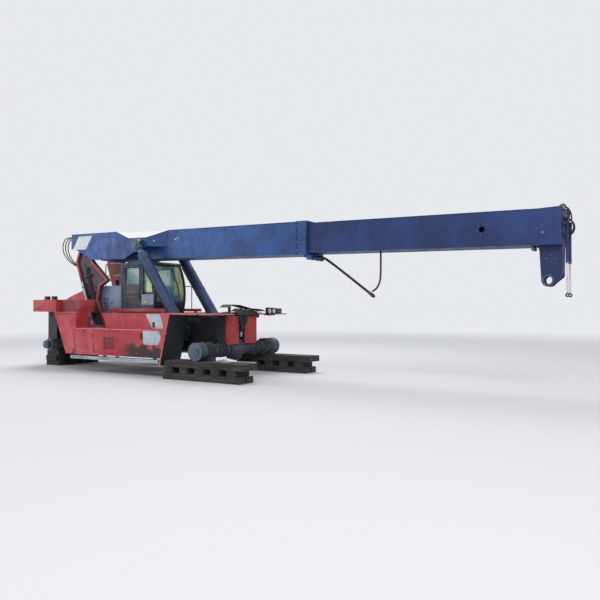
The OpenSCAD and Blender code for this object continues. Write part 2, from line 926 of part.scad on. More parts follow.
module seat() {
    half = 250;
    floor = cab_low + cab_wall;
    color("black") placed() union() {
        block([-3470, -180, floor], [-3150, 180, floor + 320]);
        block([-3550, -half, floor + 320], [-3050, half, floor + 440]);
        block([-3620, -half, floor + 440], [-3500, half, floor + 1100]);
    }
}

module steering_column() {
    floor = cab_low + cab_wall;
    color("black") placed() union() {
        block([-2790, -60, floor], [-2670, 60, floor + 560]);
        translate([-2750, 0, floor + 550]) rotate([0, -25, 0]) difference() {
            cylinder(d = 380, h = 25);
            translate([0, 0, -1]) cylinder(d = 320, h = 27);
        }
        translate([-2750, 0, floor + 550]) rotate([0, -25, 0]) union() {
            translate([-175, -20, 4]) cube([350, 40, 16]);
            cylinder(d = 70, h = 20);
        }
    }
}

module rear_box() {
    color("slategray") placed() block([-4740, -rear_box_half, beam_top], [-3800, rear_box_half, 2430]);
}

// Timber stacks, each layer laid across the one below
module timber_layer(x0, x1, y0, y1, z, along, count) {
    span = along ? y1 - y0 : x1 - x0;
    step = (span - timber_w) / (count - 1);
    for (i = [0:count - 1])
        if (along) block([x0, y0 + i * step, z], [x1, y0 + i * step + timber_w, z + timber_h]);
        else block([x0 + i * step, y0, z], [x0 + i * step + timber_w, y1, z + timber_h]);
}

module timbers_front() {
    y1 = stack_span / 2;
    y0 = y1 - stack_w;
    tip = 1400;
    chock_h = 100;
    chock_w = 260;
    color("saddlebrown") placed() both_sides() {
        timber_layer(tip - stack_len, tip, y0, y1, 0, true, 2);
        timber_layer(tip - stack_len + 60, tip - 120, y0, y1, timber_h, false, 5);
        timber_layer(tip - stack_len + 60, tip + 110, y0, y1, 2 * timber_h, true, 2);
        difference() {
            block([-chock_w, y0, timber_top], [chock_w, hub_back - 60, timber_top + chock_h]);
            bar_y(0, axle_z, brake_d + 2 * slide_gap, y0 - 1, hub_back);
        }
    }
}

module timbers_rear() {
    half = 760;
    x0 = -weight_core_back + 10;
    x1 = -weight_core_front - 10;
    color("saddlebrown") placed() union() {
        timber_layer(x0 - 60, x1 + 60, -half, half, 0, true, 4);
        timber_layer(x0, x1, -half - 60, half + 60, timber_h, false, 2);
        timber_layer(x0 - 30, x1 + 60, -half, half, 2 * timber_h, true, 4);
    }
}

// The outer boom: a hollow box with side plates round its tail, pivot pins and a collar
module outer_outline(inset) {
    polygon([
        [-tail_back + inset, outer_top - inset], [outer_len + (inset > 0 ? 1 : 0), outer_top - inset],
        [outer_len + (inset > 0 ? 1 : 0), -outer_top + inset], [belly_start + inset / 2,
            -outer_top + inset],
        [-410 + inset / 2, -48 + inset], [-tail_back + inset, -48 + inset]
    ]);
}

module tail_side_outline() {
    polygon([
        [-tail_back, outer_top], [roof_a, outer_top], [roof_b, roof_c], [roof_end, roof_c], [roof_end, -60],
        [2450, -210], [2150, -210], [1750, -outer_top], [belly_start, -outer_top], [-410, -48],
            [-tail_back, -48]
    ]);
}

// A plate between an upper and a lower skin that have the same corners
module skin_plate(top, bottom, tops) {
    n = len(top);
    polyhedron(points = concat(top, bottom), faces = concat(
        tops,
        [for (f = tops) [for (i = [len(f) - 1:-1:0]) f[i] + n]],
        [for (i = [0:n - 1]) [(i + 1) % n, i, i + n, (i + 1) % n + n]]
    ));
}

// The sloping roof and front plate over the brackets of the lift cylinders' top pins
module bracket_roof() {
    t = 25;
    low = -60;
    wide = tail_out - outer_side;
    nose_lean = atan2(wide, roof_tip - roof_end);
    back_y = tail_out - t / cos(nose_lean);
    back_c = outer_top - (outer_top - roof_c) * (back_y - outer_side) / wide;
    roof = [
        [roof_a, outer_side, outer_top], [roof_a, tail_out, outer_top], [roof_b, tail_out, roof_c],
        [roof_end, tail_out, roof_c], [roof_tip, outer_side, outer_top]
    ];
    nose = [
        [roof_end, back_y, back_c], [roof_end, tail_out, roof_c], [roof_tip, outer_side, outer_top],
        [roof_tip - t / sin(nose_lean), outer_side, outer_top]
    ];
    skin_plate(roof, [for (p = roof) p - [0, 0, t]], [[0, 1, 2], [0, 2, 3, 4]]);
    skin_plate(nose, [for (p = nose) [p[0], p[1], low]], [[0, 1, 2, 3]]);
}

module boom_outer() {
    mouth_gap = slide_gap;
    pad_len = 160;
    pad_w = 120;
    pad_half = 40;
    roller_d = 120;
    lug_c = -outer_top - collar_t - 60;
    color("darkslategray") on_boom() union() {
        difference() {
            union() {
                slab(-outer_side, outer_side) outer_outline(0);
                block([outer_len - collar_len, -outer_side - collar_t, -outer_top - collar_t],
                    [outer_len, outer_side + collar_t, outer_top + collar_t]);
            }
            slab(-outer_side + boom_wall, outer_side - boom_wall) outer_outline(boom_wall);
        }
        both_sides() {
            slab(tail_plate_in, tail_out) tail_side_outline();
            block([-tail_back, outer_side, outer_top - boom_wall], [1440, tail_plate_in, outer_top]);
            block([1000, outer_side, -outer_top], [1000 + boom_wall, tail_plate_in, outer_top - boom_wall]);
            block([2100, outer_side, -60], [2100 + boom_wall, tail_plate_in, 180]);
            bar_y(0, 0, pivot_d, outer_side - boom_wall, tail_plate_in + 1);
            bar_y(lift_top_a, lift_top_c, lift_pin_d + 120, outer_side - 1, tail_out - 1);
            bracket_roof();
            block([-tail_back, outer_side - 1, gland_low], [-tail_back + boom_wall, tail_plate_in + 1,
                outer_top - 1]);
        }
        for (y = [-inner_side + 20, inner_side - 20 - pad_w])
            block([outer_len - pad_len, y, -outer_top + boom_wall - 1],
                [outer_len, y + pad_w, -inner_top - mouth_gap]);
        for (y = [-300, -115, 115, 300])
            slab(y - pad_half, y + pad_half) union() {
                translate([outer_len + 20, lug_c]) circle(d = roller_d);
                translate([outer_len - 110, lug_c]) square([130, -outer_top - collar_t - lug_c + 1]);
            }
        block([outer_len - 60, -45, -outer_top - collar_t - 70], [outer_len + 62, 45,
            -outer_top - collar_t + 1]);
    }
}

// The inner boom: a hollow box that slides in the outer one, and the head with its two ears
module head_outline() {
    polygon([
        [head_start, -inner_top + 1], [bore_a - ear_r + 2, bore_c - 30], [bore_a, bore_c - ear_r],
        [bore_a + 40, bore_c - ear_r + 6], [head_face_a, -975], [head_face_a, -inner_top + 1]
    ]);
    translate([bore_a, bore_c]) circle(r = ear_r);
    difference() {
        translate([head_start - head_fillet, -inner_top - head_fillet]) square([head_fillet + 5,
            head_fillet + 1]);
        translate([head_start - head_fillet, -inner_top - head_fillet]) circle(r = head_fillet);
    }
}

module damper_lug() {
    lug_t = 14;
    pin_a = head_face_a + damper_out;
    inner = damper_y - damper_top_t / 2 - clear;
    outer = damper_y + damper_top_t / 2 + clear;
    for (y = [inner - lug_t, outer])
        slab(y, y + lug_t) union() {
            translate([pin_a, damper_c]) circle(r = 32);
            translate([head_face_a, damper_c - 50]) square([damper_out, 82]);
        }
    block([head_face_a, inner - lug_t, damper_c - 50], [head_face_a + 10, outer + lug_t, damper_c + 32]);
    bar_y(pin_a, damper_c, damper_pin_d, inner - 1, outer + 1);
}

module damper_lugs() {
    color("darkslategray") on_boom() both_sides() damper_lug();
}

module boom_inner() {
    pad_len = 160;
    pad_w = 120;
    color("darkslategray") on_boom() difference() {
        union() {
            block([inner_start, -inner_side, -inner_top], [head_start, inner_side, inner_top]);
            slab(-inner_side, inner_side) polygon([
                [head_start, -inner_top], [head_start, inner_top], [head_face_a, head_top],
                [head_face_a, -inner_top]
            ]);
            both_sides() slab(head_w / 2 - ear_t, head_w / 2) head_outline();
            block([head_face_a - ear_t, -head_w / 2 + 1, -900],
                [head_face_a, head_w / 2 - 1, -inner_top + 1]);
            for (y = [-inner_side + 20, inner_side - 20 - pad_w])
                block([inner_start, y, inner_top - 1],
                    [inner_start + pad_len, y + pad_w, outer_top - boom_wall - slide_gap]);
        }
        block([inner_start - 1, -inner_side + boom_wall, -inner_top + boom_wall],
            [head_start - boom_wall, inner_side - boom_wall, inner_top - boom_wall]);
        bar_y(bore_a, bore_c, head_bore_d, -head_w, head_w);
        bar_y(head_start - port_back, 0, port_d, inner_side - boom_wall - 1, inner_side + 1);
        bar_y(head_start - port_back, 0, port_d, -inner_side - 1, -inner_side + boom_wall + 1);
    }
}

// A lift cylinder, drawn upright on its foot pin and then leaned to the boom
module lean_lift() {
    placed() translate([-lift_foot_back, lift_y, lift_foot_z]) rotate([0, lift_lean, 0]) children();
}

module lift_barrel() {
    foot_neck = lift_barrel_start + 5;
    lean_lift() difference() {
        union() {
            translate([0, 0, lift_barrel_start])
                cylinder(d = lift_d, h = lift_barrel_len - lift_barrel_start);
            translate([0, 0, lift_barrel_len - 160]) cylinder(d = lift_d + 16, h = 160);
            bar_y(0, 0, lift_foot_d, -lift_foot_t / 2, lift_foot_t / 2);
            translate([-lift_foot_d / 2 + 20, -lift_foot_t / 2, 0])
                cube([lift_foot_d - 40, lift_foot_t, foot_neck]);
        }
        bar_y(0, 0, lift_pin_d + 2 * run_gap, -lift_foot_t, lift_foot_t);
        translate([0, 0, lift_piston_rest - 10])
            cylinder(d = lift_bore_d, h = lift_barrel_len - lift_gland - lift_piston_rest + 10);
        translate([0, 0, lift_barrel_len - lift_gland - 1])
            cylinder(d = lift_rod_d + 2 * run_gap, h = lift_gland + 2);
    }
}

module lift_rod() {
    pin_reach = lift_y - tail_out - clear;
    lean_lift() union() {
        translate([0, 0, lift_piston_rest]) cylinder(d = lift_rod_d, h = lift_closed - lift_piston_rest);
        translate([0, 0, lift_piston_rest]) cylinder(d = lift_bore_d - 2 * run_gap, h = lift_piston_len);
        bar_y(0, lift_closed, lift_eye_d, -lift_eye_t / 2, lift_eye_t / 2);
        bar_y(0, lift_closed, lift_pin_d, -pin_reach, lift_eye_t / 2 + 20);
    }
}

module lift_barrel_left() {
    color("darkslategray") lift_barrel();
}

module lift_barrel_right() {
    color("darkslategray") on_right() lift_barrel();
}

module lift_rod_left() {
    color("darkslategray") lift_rod();
}

module lift_rod_right() {
    color("darkslategray") on_right() lift_rod();
}

// A damper hangs from a lug on the head's face and holds a rod that slides out of it
module damper_barrel() {
    placed() translate([damper_x, damper_y, damper_top_z]) difference() {
        union() {
            bar_y(0, 0, damper_eye_d, -damper_top_t / 2, damper_top_t / 2);
            translate([0, 0, -damper_len]) cylinder(d = damper_d, h = damper_len - 30);
        }
        bar_y(0, 0, damper_pin_d + 2 * run_gap, -damper_top_t, damper_top_t);
        translate([0, 0, -damper_len - 1]) cylinder(d = damper_rod_d + 2 * run_gap, h = damper_len - 60);
    }
}

module damper_rod() {
    placed() translate([damper_x, damper_y, damper_top_z]) difference() {
        union() {
            translate([0, 0, -damper_len - damper_rod_show])
                cylinder(d = damper_rod_d, h = damper_rod_show + damper_rod_lap);
            bar_y(0, -damper_len - damper_rod_show - 30, damper_eye_d, -damper_eye_t / 2, damper_eye_t / 2);
        }
        bar_y(0, -damper_len - damper_rod_show - 30, damper_pin_d, -damper_eye_t, damper_eye_t);
    }
}

module damper_barrel_left() {
    color("dimgray") damper_barrel();
}

module damper_barrel_right() {
    color("dimgray") on_right() damper_barrel();
}

module damper_rod_left() {
    color("silver") damper_rod();
}

module damper_rod_right() {
    color("silver") on_right() damper_rod();
}

// Short hose loops at the boom's tail and head
module tail_hoses() {
    spread = 42;
    color("black") placed() for (i = [-1:1])
        translate([0, -(mast_in + mast_out) / 2 + i * spread, 0]) tube(tail_hose_points, small_hose_d, 3,
            8);
}

module head_hoses() {
    color("black") on_boom() for (y = [-60, 0, 60])
        translate([head_face_a, y, 0]) rotate([90, 0, 0]) rotate([0, 0, -90]) rotate_extrude(angle = 180)
            translate([head_loop_r, 0]) circle(d = small_hose_d, $fn = 24);
}

// A tube along a list of points, as one skin of rings
function unit(v) = v / norm(v);
function ring_dir(p, i) = unit(p[min(i + 1, len(p) - 1)] - p[max(i - 1, 0)]);
function bezier_mid(p, i, t) = let (
        a = p[max(i - 1, 0)], b = p[i], c = p[i + 1], d = p[min(i + 2, len(p) - 1)])
    b * (2 * t * t * t - 3 * t * t + 1) + c * (3 * t * t - 2 * t * t * t)
    + (c - a) / 2 * (t * t * t - 2 * t * t + t) + (d - b) / 2 * (t * t * t - t * t);
function smooth(p, steps) = [
    for (i = [0:len(p) - 2]) for (s = [0:steps - 1]) bezier_mid(p, i, s / steps),
    p[len(p) - 1]
];

module tube(points, d, steps, sides) {
    path = smooth(points, steps);
    count = len(path);
    rings = [
        for (i = [0:count - 1])
            let (t = ring_dir(path, i), n = [-t[2], 0, t[0]], b = [0, 1, 0])
            for (s = [0:sides - 1])
                path[i] + d / 2 * (n * cos(s * 360 / sides) + b * sin(s * 360 / sides))
    ];
    faces = [
        [for (s = [0:sides - 1]) s],
        for (i = [0:count - 2]) for (s = [0:sides - 1])
            [i * sides + s, (i + 1) * sides + s, (i + 1) * sides + (s + 1) % sides,
                i * sides + (s + 1) % sides],
        [for (s = [sides - 1:-1:0]) (count - 1) * sides + s]
    ];
    polyhedron(points = rings, faces = faces, convexity = 4);
}

module hanging_hose() {
    color("black") placed() tube(hose_points, hose_d, 3, 10);
}

module hanging_rope() {
    color("black") placed() tube(rope_points, rope_d, 4, 8);
}

chassis();
counterweight();
engine();
engine_hood();
mast_right();
mast_left();
mast_pipe();
side_box_right();
side_box_left();
locker_door_right();
locker_door_left();
front_fenders();
step_rails();
front_cover();
drive_axle();
hub_front_right();
hub_front_left();
steer_axle();
knuckle_right();
knuckle_left();
hub_rear_right();
hub_rear_left();
cab_rails();
cab_shell();
cab_roof();
cab_glass();
cab_door_right();
cab_door_left();
door_glass_right();
door_glass_left();
seat();
steering_column();
rear_box();
timbers_front();
timbers_rear();
boom_outer();
boom_inner();
damper_lugs();
lift_barrel_right();
lift_barrel_left();
lift_rod_right();
lift_rod_left();
damper_barrel_right();
damper_barrel_left();
damper_rod_right();
damper_rod_left();
tail_hoses();
head_hoses();
hanging_hose();
hanging_rope();
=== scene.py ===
"""Reach stacker on timber stacks: the looks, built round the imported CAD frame.

Lengths are metres. Places are (forward, left, up) from the drive axle, as in the part's source, and at()
moves them into the row frame. on_boom() does the same for (along, left, up) from the boom's pivot.
"""
import json
import math
import random

import bmesh
import bpy
from mathutils import Matrix, Vector


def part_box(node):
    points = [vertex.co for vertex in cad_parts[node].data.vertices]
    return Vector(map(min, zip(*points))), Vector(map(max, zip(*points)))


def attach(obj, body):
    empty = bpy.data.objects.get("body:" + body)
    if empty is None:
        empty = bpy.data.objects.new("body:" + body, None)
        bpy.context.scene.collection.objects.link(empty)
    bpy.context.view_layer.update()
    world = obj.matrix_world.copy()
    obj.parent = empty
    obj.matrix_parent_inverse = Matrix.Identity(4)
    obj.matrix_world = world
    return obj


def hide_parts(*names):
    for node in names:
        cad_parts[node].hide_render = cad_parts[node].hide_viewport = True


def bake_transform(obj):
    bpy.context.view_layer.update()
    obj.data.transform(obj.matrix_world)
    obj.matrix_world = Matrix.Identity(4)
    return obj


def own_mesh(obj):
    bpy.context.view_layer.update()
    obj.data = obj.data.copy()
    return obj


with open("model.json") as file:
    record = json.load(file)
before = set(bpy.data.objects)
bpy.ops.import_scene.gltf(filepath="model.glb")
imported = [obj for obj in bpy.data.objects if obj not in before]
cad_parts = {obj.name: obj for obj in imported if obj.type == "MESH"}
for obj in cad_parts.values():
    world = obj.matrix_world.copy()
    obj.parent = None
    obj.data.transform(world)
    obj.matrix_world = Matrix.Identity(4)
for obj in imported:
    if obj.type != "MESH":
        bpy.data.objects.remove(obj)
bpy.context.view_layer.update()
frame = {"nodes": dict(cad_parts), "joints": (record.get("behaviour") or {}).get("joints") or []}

SIDES = (("right", -1), ("left", 1))


def middle(node):
    low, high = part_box(node)
    return (Vector(low) + Vector(high)) / 2


# Places
DRIVE_X = middle("hub_front_left").x
AXLE_Z = middle("hub_front_left").z
JOINTS = {j["name"]: j for j in frame["joints"]}
ALONG = Vector(JOINTS["telescope"]["axis"])
UP = Vector((-ALONG.z, 0, ALONG.x))
PIVOT = Vector(JOINTS["boom_luff"]["pos_m"])
LIFT_PIN_A, LIFT_PIN_C = 2.3905, -0.004


def at(x, y, z):
    return Vector((x + DRIVE_X, y, z))


def on_boom(a, y, c):
    return PIVOT + ALONG * a + UP * c + Vector((0, y, 0))


def at_y(y, points, place=at):
    """Places at one y, from pairs of the other two measures."""
    return [place(a, y, c) for a, c in points]


def at_x(x, points):
    """Places at one x, from (left, up) pairs."""
    return [at(x, y, z) for y, z in points]


def rect(a0, a1, c0, c1):
    return (a0, c0), (a1, c0), (a1, c1), (a0, c1)


def spread(low, high, count):
    """Evenly spaced numbers from low to high, both included."""
    return [low + (high - low) * i / count for i in range(count + 1)]


def circle(centre, side, other, radius, count, start=0.0):
    """Evenly spaced places round a centre; start is a share of a step."""
    angles = [2 * math.pi * (i + start) / count for i in range(count)]
    return [centre + radius * (side * math.cos(t) + other * math.sin(t)) for t in angles]


def shown(name, data):
    made = bpy.data.objects.new(name, data)
    bpy.context.scene.collection.objects.link(made)
    return made


def aim(made, place, direction):
    made.location = place
    made.rotation_mode = "QUATERNION"
    made.rotation_quaternion = direction.to_track_quat("-Z", "Y")


# Camera
CAMERA_PLACE = at(10.125, -13.165, 1.75)
CAMERA_HEADING = Vector((-0.527, 0.850, 0)).normalized()
CAMERA_RISE = math.radians(0.83)

camera_data = bpy.data.cameras.new("camera")
camera_data.lens = 37.2
camera_data.sensor_width = 36
camera_data.clip_end = 400
camera = shown("camera", camera_data)
aim(camera, CAMERA_PLACE, CAMERA_HEADING * math.cos(CAMERA_RISE) + Vector((0, 0, math.sin(CAMERA_RISE))))
bpy.context.scene.camera = camera


# Materials
def linear(colour):
    """The linear colour of an 8-bit sRGB tuple. A socket stays a socket."""
    if not isinstance(colour, tuple):
        return colour
    parts = [v / 255 for v in colour]
    return (*[v / 12.92 if v <= 0.04045 else ((v + 0.055) / 1.055) ** 2.4 for v in parts], 1)


class Nodes:
    """A node tree, with short ways to add to it."""

    def __init__(self, tree):
        self.tree = tree

    def put(self, socket, value):
        if isinstance(value, bpy.types.NodeSocket):
            self.tree.links.new(value, socket)
        else:
            socket.default_value = value

    def add(self, kind, inputs=None, **settings):
        """A new node; inputs are constants, or sockets that are linked."""
        node = self.tree.nodes.new(kind)
        for key, value in settings.items():
            setattr(node, key, value)
        for key, value in (inputs or {}).items():
            self.put(node.inputs[key], value)
        return node

    def math(self, operation, a, b=0.0):
        return self.add("ShaderNodeMath", {0: a, 1: b}, operation=operation).outputs[0]

    def times(self, first, *others):
        for other in others:
            first = self.math("MULTIPLY", first, other)
        return first

    def plus(self, a, b):
        return self.math("ADD", a, b)

    def most(self, a, b):
        return self.math("MAXIMUM", a, b)

    def seen_directly(self):
        """1 for camera, glossy and transmission rays, which see the plain backdrop."""
        path = self.add("ShaderNodeLightPath").outputs
        return self.most(self.most(path["Is Camera Ray"], path["Is Glossy Ray"]), path["Is Transmission Ray"])


class Shading(Nodes):
    """A material's node tree, built from the object's own coordinates."""

    def __init__(self, name):
        self.material = bpy.data.materials.new(name)
        self.material.use_nodes = True
        super().__init__(self.material.node_tree)
        self.shader = self.tree.nodes["Principled BSDF"]
        self.coordinates = self.add("ShaderNodeTexCoord").outputs["Object"]

    def stretched(self, scale):
        return self.add("ShaderNodeMapping", {"Vector": self.coordinates, "Scale": scale}).outputs["Vector"]

    def noise(self, scale, detail=4.0, roughness=0.6, vector=None):
        return self.add("ShaderNodeTexNoise", {"Vector": vector or self.coordinates, "Scale": scale,
                                               "Detail": detail, "Roughness": roughness}).outputs["Fac"]

    def band(self, value, low, high, to_low=0.0, to_high=1.0):
        """value, spread so that low gives to_low and high gives to_high."""
        inputs = {"Value": value, "From Min": low, "From Max": high, "To Min": to_low, "To Max": to_high}
        return self.add("ShaderNodeMapRange", inputs, interpolation_type="SMOOTHSTEP").outputs["Result"]

    def mix(self, amount, a, b):
        inputs = {"Factor": amount, "A": linear(a), "B": linear(b)}
        return self.add("ShaderNodeMix", inputs, data_type="RGBA").outputs["Result"]

    def axis(self, vector, name):
        return self.add("ShaderNodeSeparateXYZ", {0: vector}).outputs[name]

    def facing(self, name, low, high):
        """0 to 1 as a surface's normal along an axis goes from low to high, in the piece's own frame."""
        return self.band(self.axis(self.add("ShaderNodeTexCoord").outputs["Normal"], name), low, high)

    def upward(self):
        return self.facing("Z", 0.55, 0.95)

    def height(self, low, high):
        """0 to 1 as a point's height goes from low to high."""
        return self.band(self.axis(self.coordinates, "Z"), low, high)

    def forward(self, low, high):
        """The same for its distance forward of the drive axle."""
        return self.band(self.axis(self.coordinates, "X"), DRIVE_X + low, DRIVE_X + high)

    def aside(self, low, high):
        """The same for its distance from the machine's middle plane."""
        return self.band(self.math("ABSOLUTE", self.axis(self.coordinates, "Y")), low, high)

    def bump(self, height, depth, distance):
        bumped = self.add("ShaderNodeBump", {"Height": height, "Strength": depth, "Distance": distance})
        self.put(self.shader.inputs["Normal"], bumped.outputs["Normal"])

    def finish(self, colour, roughness, metallic=0.0):
        for name, value in (("Base Color", linear(colour)), ("Roughness", roughness), ("Metallic", metallic)):
            self.put(self.shader.inputs[name], value)
        return self.material


RUST = (72, 44, 34)
CHIPPED = (60, 38, 30)
DUST = (150, 142, 132)
# the colour of grime streaks, and of painted shade low on the side boxes
SOOT_AND_SHADE = (24, 22, 24)
UNDERSIDE = (34, 38, 44)
EYE_Z = on_boom(LIFT_PIN_A, 0, LIFT_PIN_C).z
DAMPER_EYE_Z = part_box("damper_rod_right")[0][2] + 0.04


def paint(name, colour, faded, rust=0.3, dust=0.5, grime=0.4, roughness=0.55, cover=None):
    """Old paint: chalky where the sun got at it, with grime in streaks, rust in spots and dust on top."""
    s = Shading(name)
    base = s.mix(s.band(s.noise(0.9, 6), 0.4, 0.62), colour, faded)
    streaks = s.noise(1.0, 5, vector=s.stretched((6, 6, 0.55)))
    base = s.mix(s.times(s.band(streaks, 0.5, 0.78), grime), base, SOOT_AND_SHADE)
    blotch = s.times(s.noise(2.2, 8, 0.7), s.band(s.noise(11, 4), 0.3, 0.6, 0.82, 1.1))
    rusty = s.band(blotch, 0.66 - 0.16 * rust, 0.7 - 0.14 * rust)
    base = s.mix(s.times(rusty, 0.85), base, RUST)
    base = s.mix(s.times(s.band(s.noise(38, 3), 0.68, 0.71), rust), base, CHIPPED)
    if cover:
        mask, over = cover(s)
        base = s.mix(mask, base, over)
    settled = s.times(s.upward(), s.band(s.noise(3.0, 5), 0.3, 0.7, 0.35 * dust, dust))
    rough = s.band(s.noise(5, 4), 0.3, 0.7, roughness - 0.08, roughness + 0.14)
    s.bump(s.plus(s.times(s.noise(26, 4), 0.35), s.times(rusty, 0.5)), 0.25, 0.004)
    return s.finish(s.mix(settled, base, DUST), s.plus(rough, s.times(rusty, 0.25)))


def shade_low_on_boxes(s):
    """Painted shade: black low on the side boxes' front half, standing in for a recess that is dark inside.
    """
    ragged = s.plus(s.axis(s.coordinates, "Z"), s.times(s.noise(3.0, 6), -0.75))
    return s.times(s.forward(-2.75, -2.05), s.band(ragged, 0.50, 0.36), 0.95), SOOT_AND_SHADE


def shade_and_dirt_in_arches(s):
    """Painted shade, with road dirt: black under the fenders and on the sides that face the wheels."""
    below = s.most(s.facing("Z", -0.3, -0.6), s.facing("X", 0.12, 0.24))
    return s.most(below, s.times(s.aside(1.68, 1.66), s.height(1.60, 1.59))), UNDERSIDE


def shade_behind_nose(s):
    """Painted shade: the chassis is dark behind the plates at its front, which alone stay red."""
    return s.forward(0.119, 0.115), UNDERSIDE


# Painted shade: dark below the counterweight slab.
def shade_under_slab(s):
    return s.height(1.66, 1.63), UNDERSIDE


def shade_in_channel(s):
    """Painted shade: the masts' channels are dark; their rims, bosses and inner sides are red."""
    return s.times(s.aside(0.655, 0.625), s.aside(0.54, 0.555), 0.9), (44, 44, 58)


def highlight_on_brackets(s):
    """Painted highlight: near-white on the sloping roofs over the brackets, where the sun lights them."""
    roof = s.times(s.aside(0.388, 0.396), s.forward(-3.88, -3.86))
    return s.times(roof, s.facing("Z", 0.4, 0.6), 0.94), (222, 222, 220)


def darker_drum_sides(s):
    """A hub's round side is darker than its face."""
    face = s.most(s.facing("Y", 0.5, 0.8), s.facing("Y", -0.5, -0.8))
    return s.times(s.band(face, 1.0, 0.0), 0.85), (44, 52, 66)


def paint_on_rod_eye(s):
    """A lift rod's eye and the bare end next to it are painted dark."""
    return s.height(EYE_Z - 0.20, EYE_Z - 0.17), (40, 48, 66)


def paint_on_damper_eye(s):
    return s.height(DAMPER_EYE_Z + 0.06, DAMPER_EYE_Z + 0.04), (40, 48, 84)


def metal(name, colour, worn, roughness, metallic, spots):
    s = Shading(name)
    mask = s.band(s.noise(7, 6, 0.7), 0.62 - 0.2 * spots, 0.72 - 0.1 * spots)
    base = s.mix(s.band(s.noise(1.6, 5), 0.35, 0.65), colour, worn)
    s.bump(s.noise(45, 3), 0.15, 0.002)
    return s.finish(s.mix(s.times(mask, 0.8), base, RUST), s.plus(roughness, s.times(mask, 0.35)),
                    s.times(s.band(mask, 0, 1, 1, 0.2), metallic))


def plain(name, colour, other, roughness=0.7, scale=8, depth=0.2):
    s = Shading(name)
    base = s.mix(s.band(s.noise(scale, 5), 0.35, 0.65), colour, other)
    s.bump(s.noise(scale * 5, 4), depth, 0.003)
    return s.finish(base, s.band(s.noise(scale, 3), 0.3, 0.7, roughness - 0.07, roughness + 0.07))


def timber(name, dark, light):
    """Creosoted sleepers: grain along the length, dark oil and dry grey edges."""
    s = Shading(name)
    grain = s.noise(1.0, 8, 0.65, s.stretched((1.6, 26, 26)))
    base = s.mix(s.band(grain, 0.35, 0.68), dark, light)
    base = s.mix(s.band(s.noise(1.7, 5), 0.5, 0.64, 0, 0.75), base, dark)
    s.bump(s.plus(grain, s.times(s.noise(60, 3), 0.3)), 0.7, 0.012)
    return s.finish(s.mix(s.times(s.upward(), 0.3), base, (112, 102, 94)), 0.88)


def glass(name, tint, haze):
    """Dusty cab glass: mostly clear, with a painted yellow reflection at the windscreen's far side and
    painted shade low before the dash.
    """
    s = Shading(name)
    dirt = s.band(s.noise(2.6, 5), 0.35, 0.75, haze, haze + 0.22)
    windscreen = s.forward(-2.70, -2.66)
    far_side = s.band(s.axis(s.coordinates, "Y"), 0.20, 0.50)
    painted_reflection = s.times(far_side, windscreen, s.height(2.0, 2.25))
    # painted shade: dark low on the windscreen, before the dash
    low = s.times(s.height(2.06, 1.94), windscreen)
    base = s.mix(s.band(s.noise(1.5, 3), 0.4, 0.6), tint, (140, 180, 176))
    base = s.mix(low, base, (36, 52, 78))
    s.finish(s.mix(painted_reflection, base, (210, 224, 140)), s.band(dirt, 0, 1, 0.10, 0.5))
    s.put(s.shader.inputs["Alpha"], s.plus(dirt, s.plus(s.times(painted_reflection, 0.38), s.times(low, 0.42))))
    s.shader.inputs["Specular IOR Level"].default_value = 0.6
    return s.material


RED = paint("red_paint", (164, 44, 52), (186, 78, 84), rust=0.12, cover=shade_low_on_boxes)
FENDER_RED = paint("fender_paint", (170, 52, 52), (198, 96, 90), rust=0.25, cover=shade_and_dirt_in_arches)
SLAB_RED = paint("counterweight_paint", (160, 48, 50), (184, 84, 82), rust=0.2, dust=0.6,
                 cover=shade_under_slab)
CHASSIS_RED = paint("chassis_paint", (158, 42, 42), (140, 46, 46), rust=0.35, dust=0.3, grime=0.5,
                    cover=shade_behind_nose)
RED_DARK = paint("red_inner", (112, 36, 36), (84, 40, 40), rust=0.5, dust=0.4, grime=0.7)
# painted shade: a darker red for the recessed panel
RECESS_SHADE_RED = paint("recess_shade_paint", (120, 40, 52), (136, 58, 70), dust=0.4, grime=0.5)
# painted highlight: pale red for lit edges of the ledge and fenders
EDGE_HIGHLIGHT_RED = paint("edge_highlight_paint", (206, 116, 112), (186, 84, 80), dust=0.4, grime=0.3)
MAROON = paint("mast_paint", (136, 40, 48), (152, 62, 68), grime=0.5, cover=shade_in_channel)
BOOM = paint("boom_paint", (24, 56, 108), (36, 78, 140), rust=-0.35, dust=0.25, grime=0.25, roughness=0.5,
             cover=highlight_on_brackets)
BOOM_INNER = paint("boom_inner_paint", (12, 34, 82), (20, 50, 106), rust=-0.3, dust=0.2, grime=0.25,
                   roughness=0.52)
CYLINDER = paint("cylinder_paint", (30, 52, 92), (42, 70, 114), rust=-0.1, dust=0.35, grime=0.3,
                 roughness=0.5)
CAB = paint("cab_paint", (36, 46, 66), (50, 62, 88), rust=0.0, grime=0.35)
GREY = paint("grey_paint", (92, 112, 142), (116, 134, 160), rust=0.1, dust=0.6, grime=0.45)
PANEL_GREY = paint("panel_paint", (150, 160, 174), (132, 142, 158), rust=0.1, dust=0.3)
PALE = paint("pale_stripe", (186, 192, 204), (166, 174, 188), rust=0.1, dust=0.3, grime=0.25,
             cover=shade_low_on_boxes)
WHITE = paint("white_plate", (218, 220, 220), (202, 206, 210), rust=0.08, dust=0.2, grime=0.15)
BLACK_PAINT = paint("black_sheet", (26, 27, 32), (40, 42, 50), rust=0.25, grime=0.3)
AXLE = paint("axle_iron", (40, 46, 58), (58, 66, 80), rust=0.2, dust=0.4, grime=0.5, roughness=0.62)
HUB = paint("hub_iron", (74, 86, 108), (96, 106, 126), rust=0.2, grime=0.45, roughness=0.5,
            cover=darker_drum_sides)
LIFT_ROD = paint("lift_rod", (120, 124, 132), (92, 98, 108), dust=0.2, grime=0.5, roughness=0.3,
                 cover=paint_on_rod_eye)
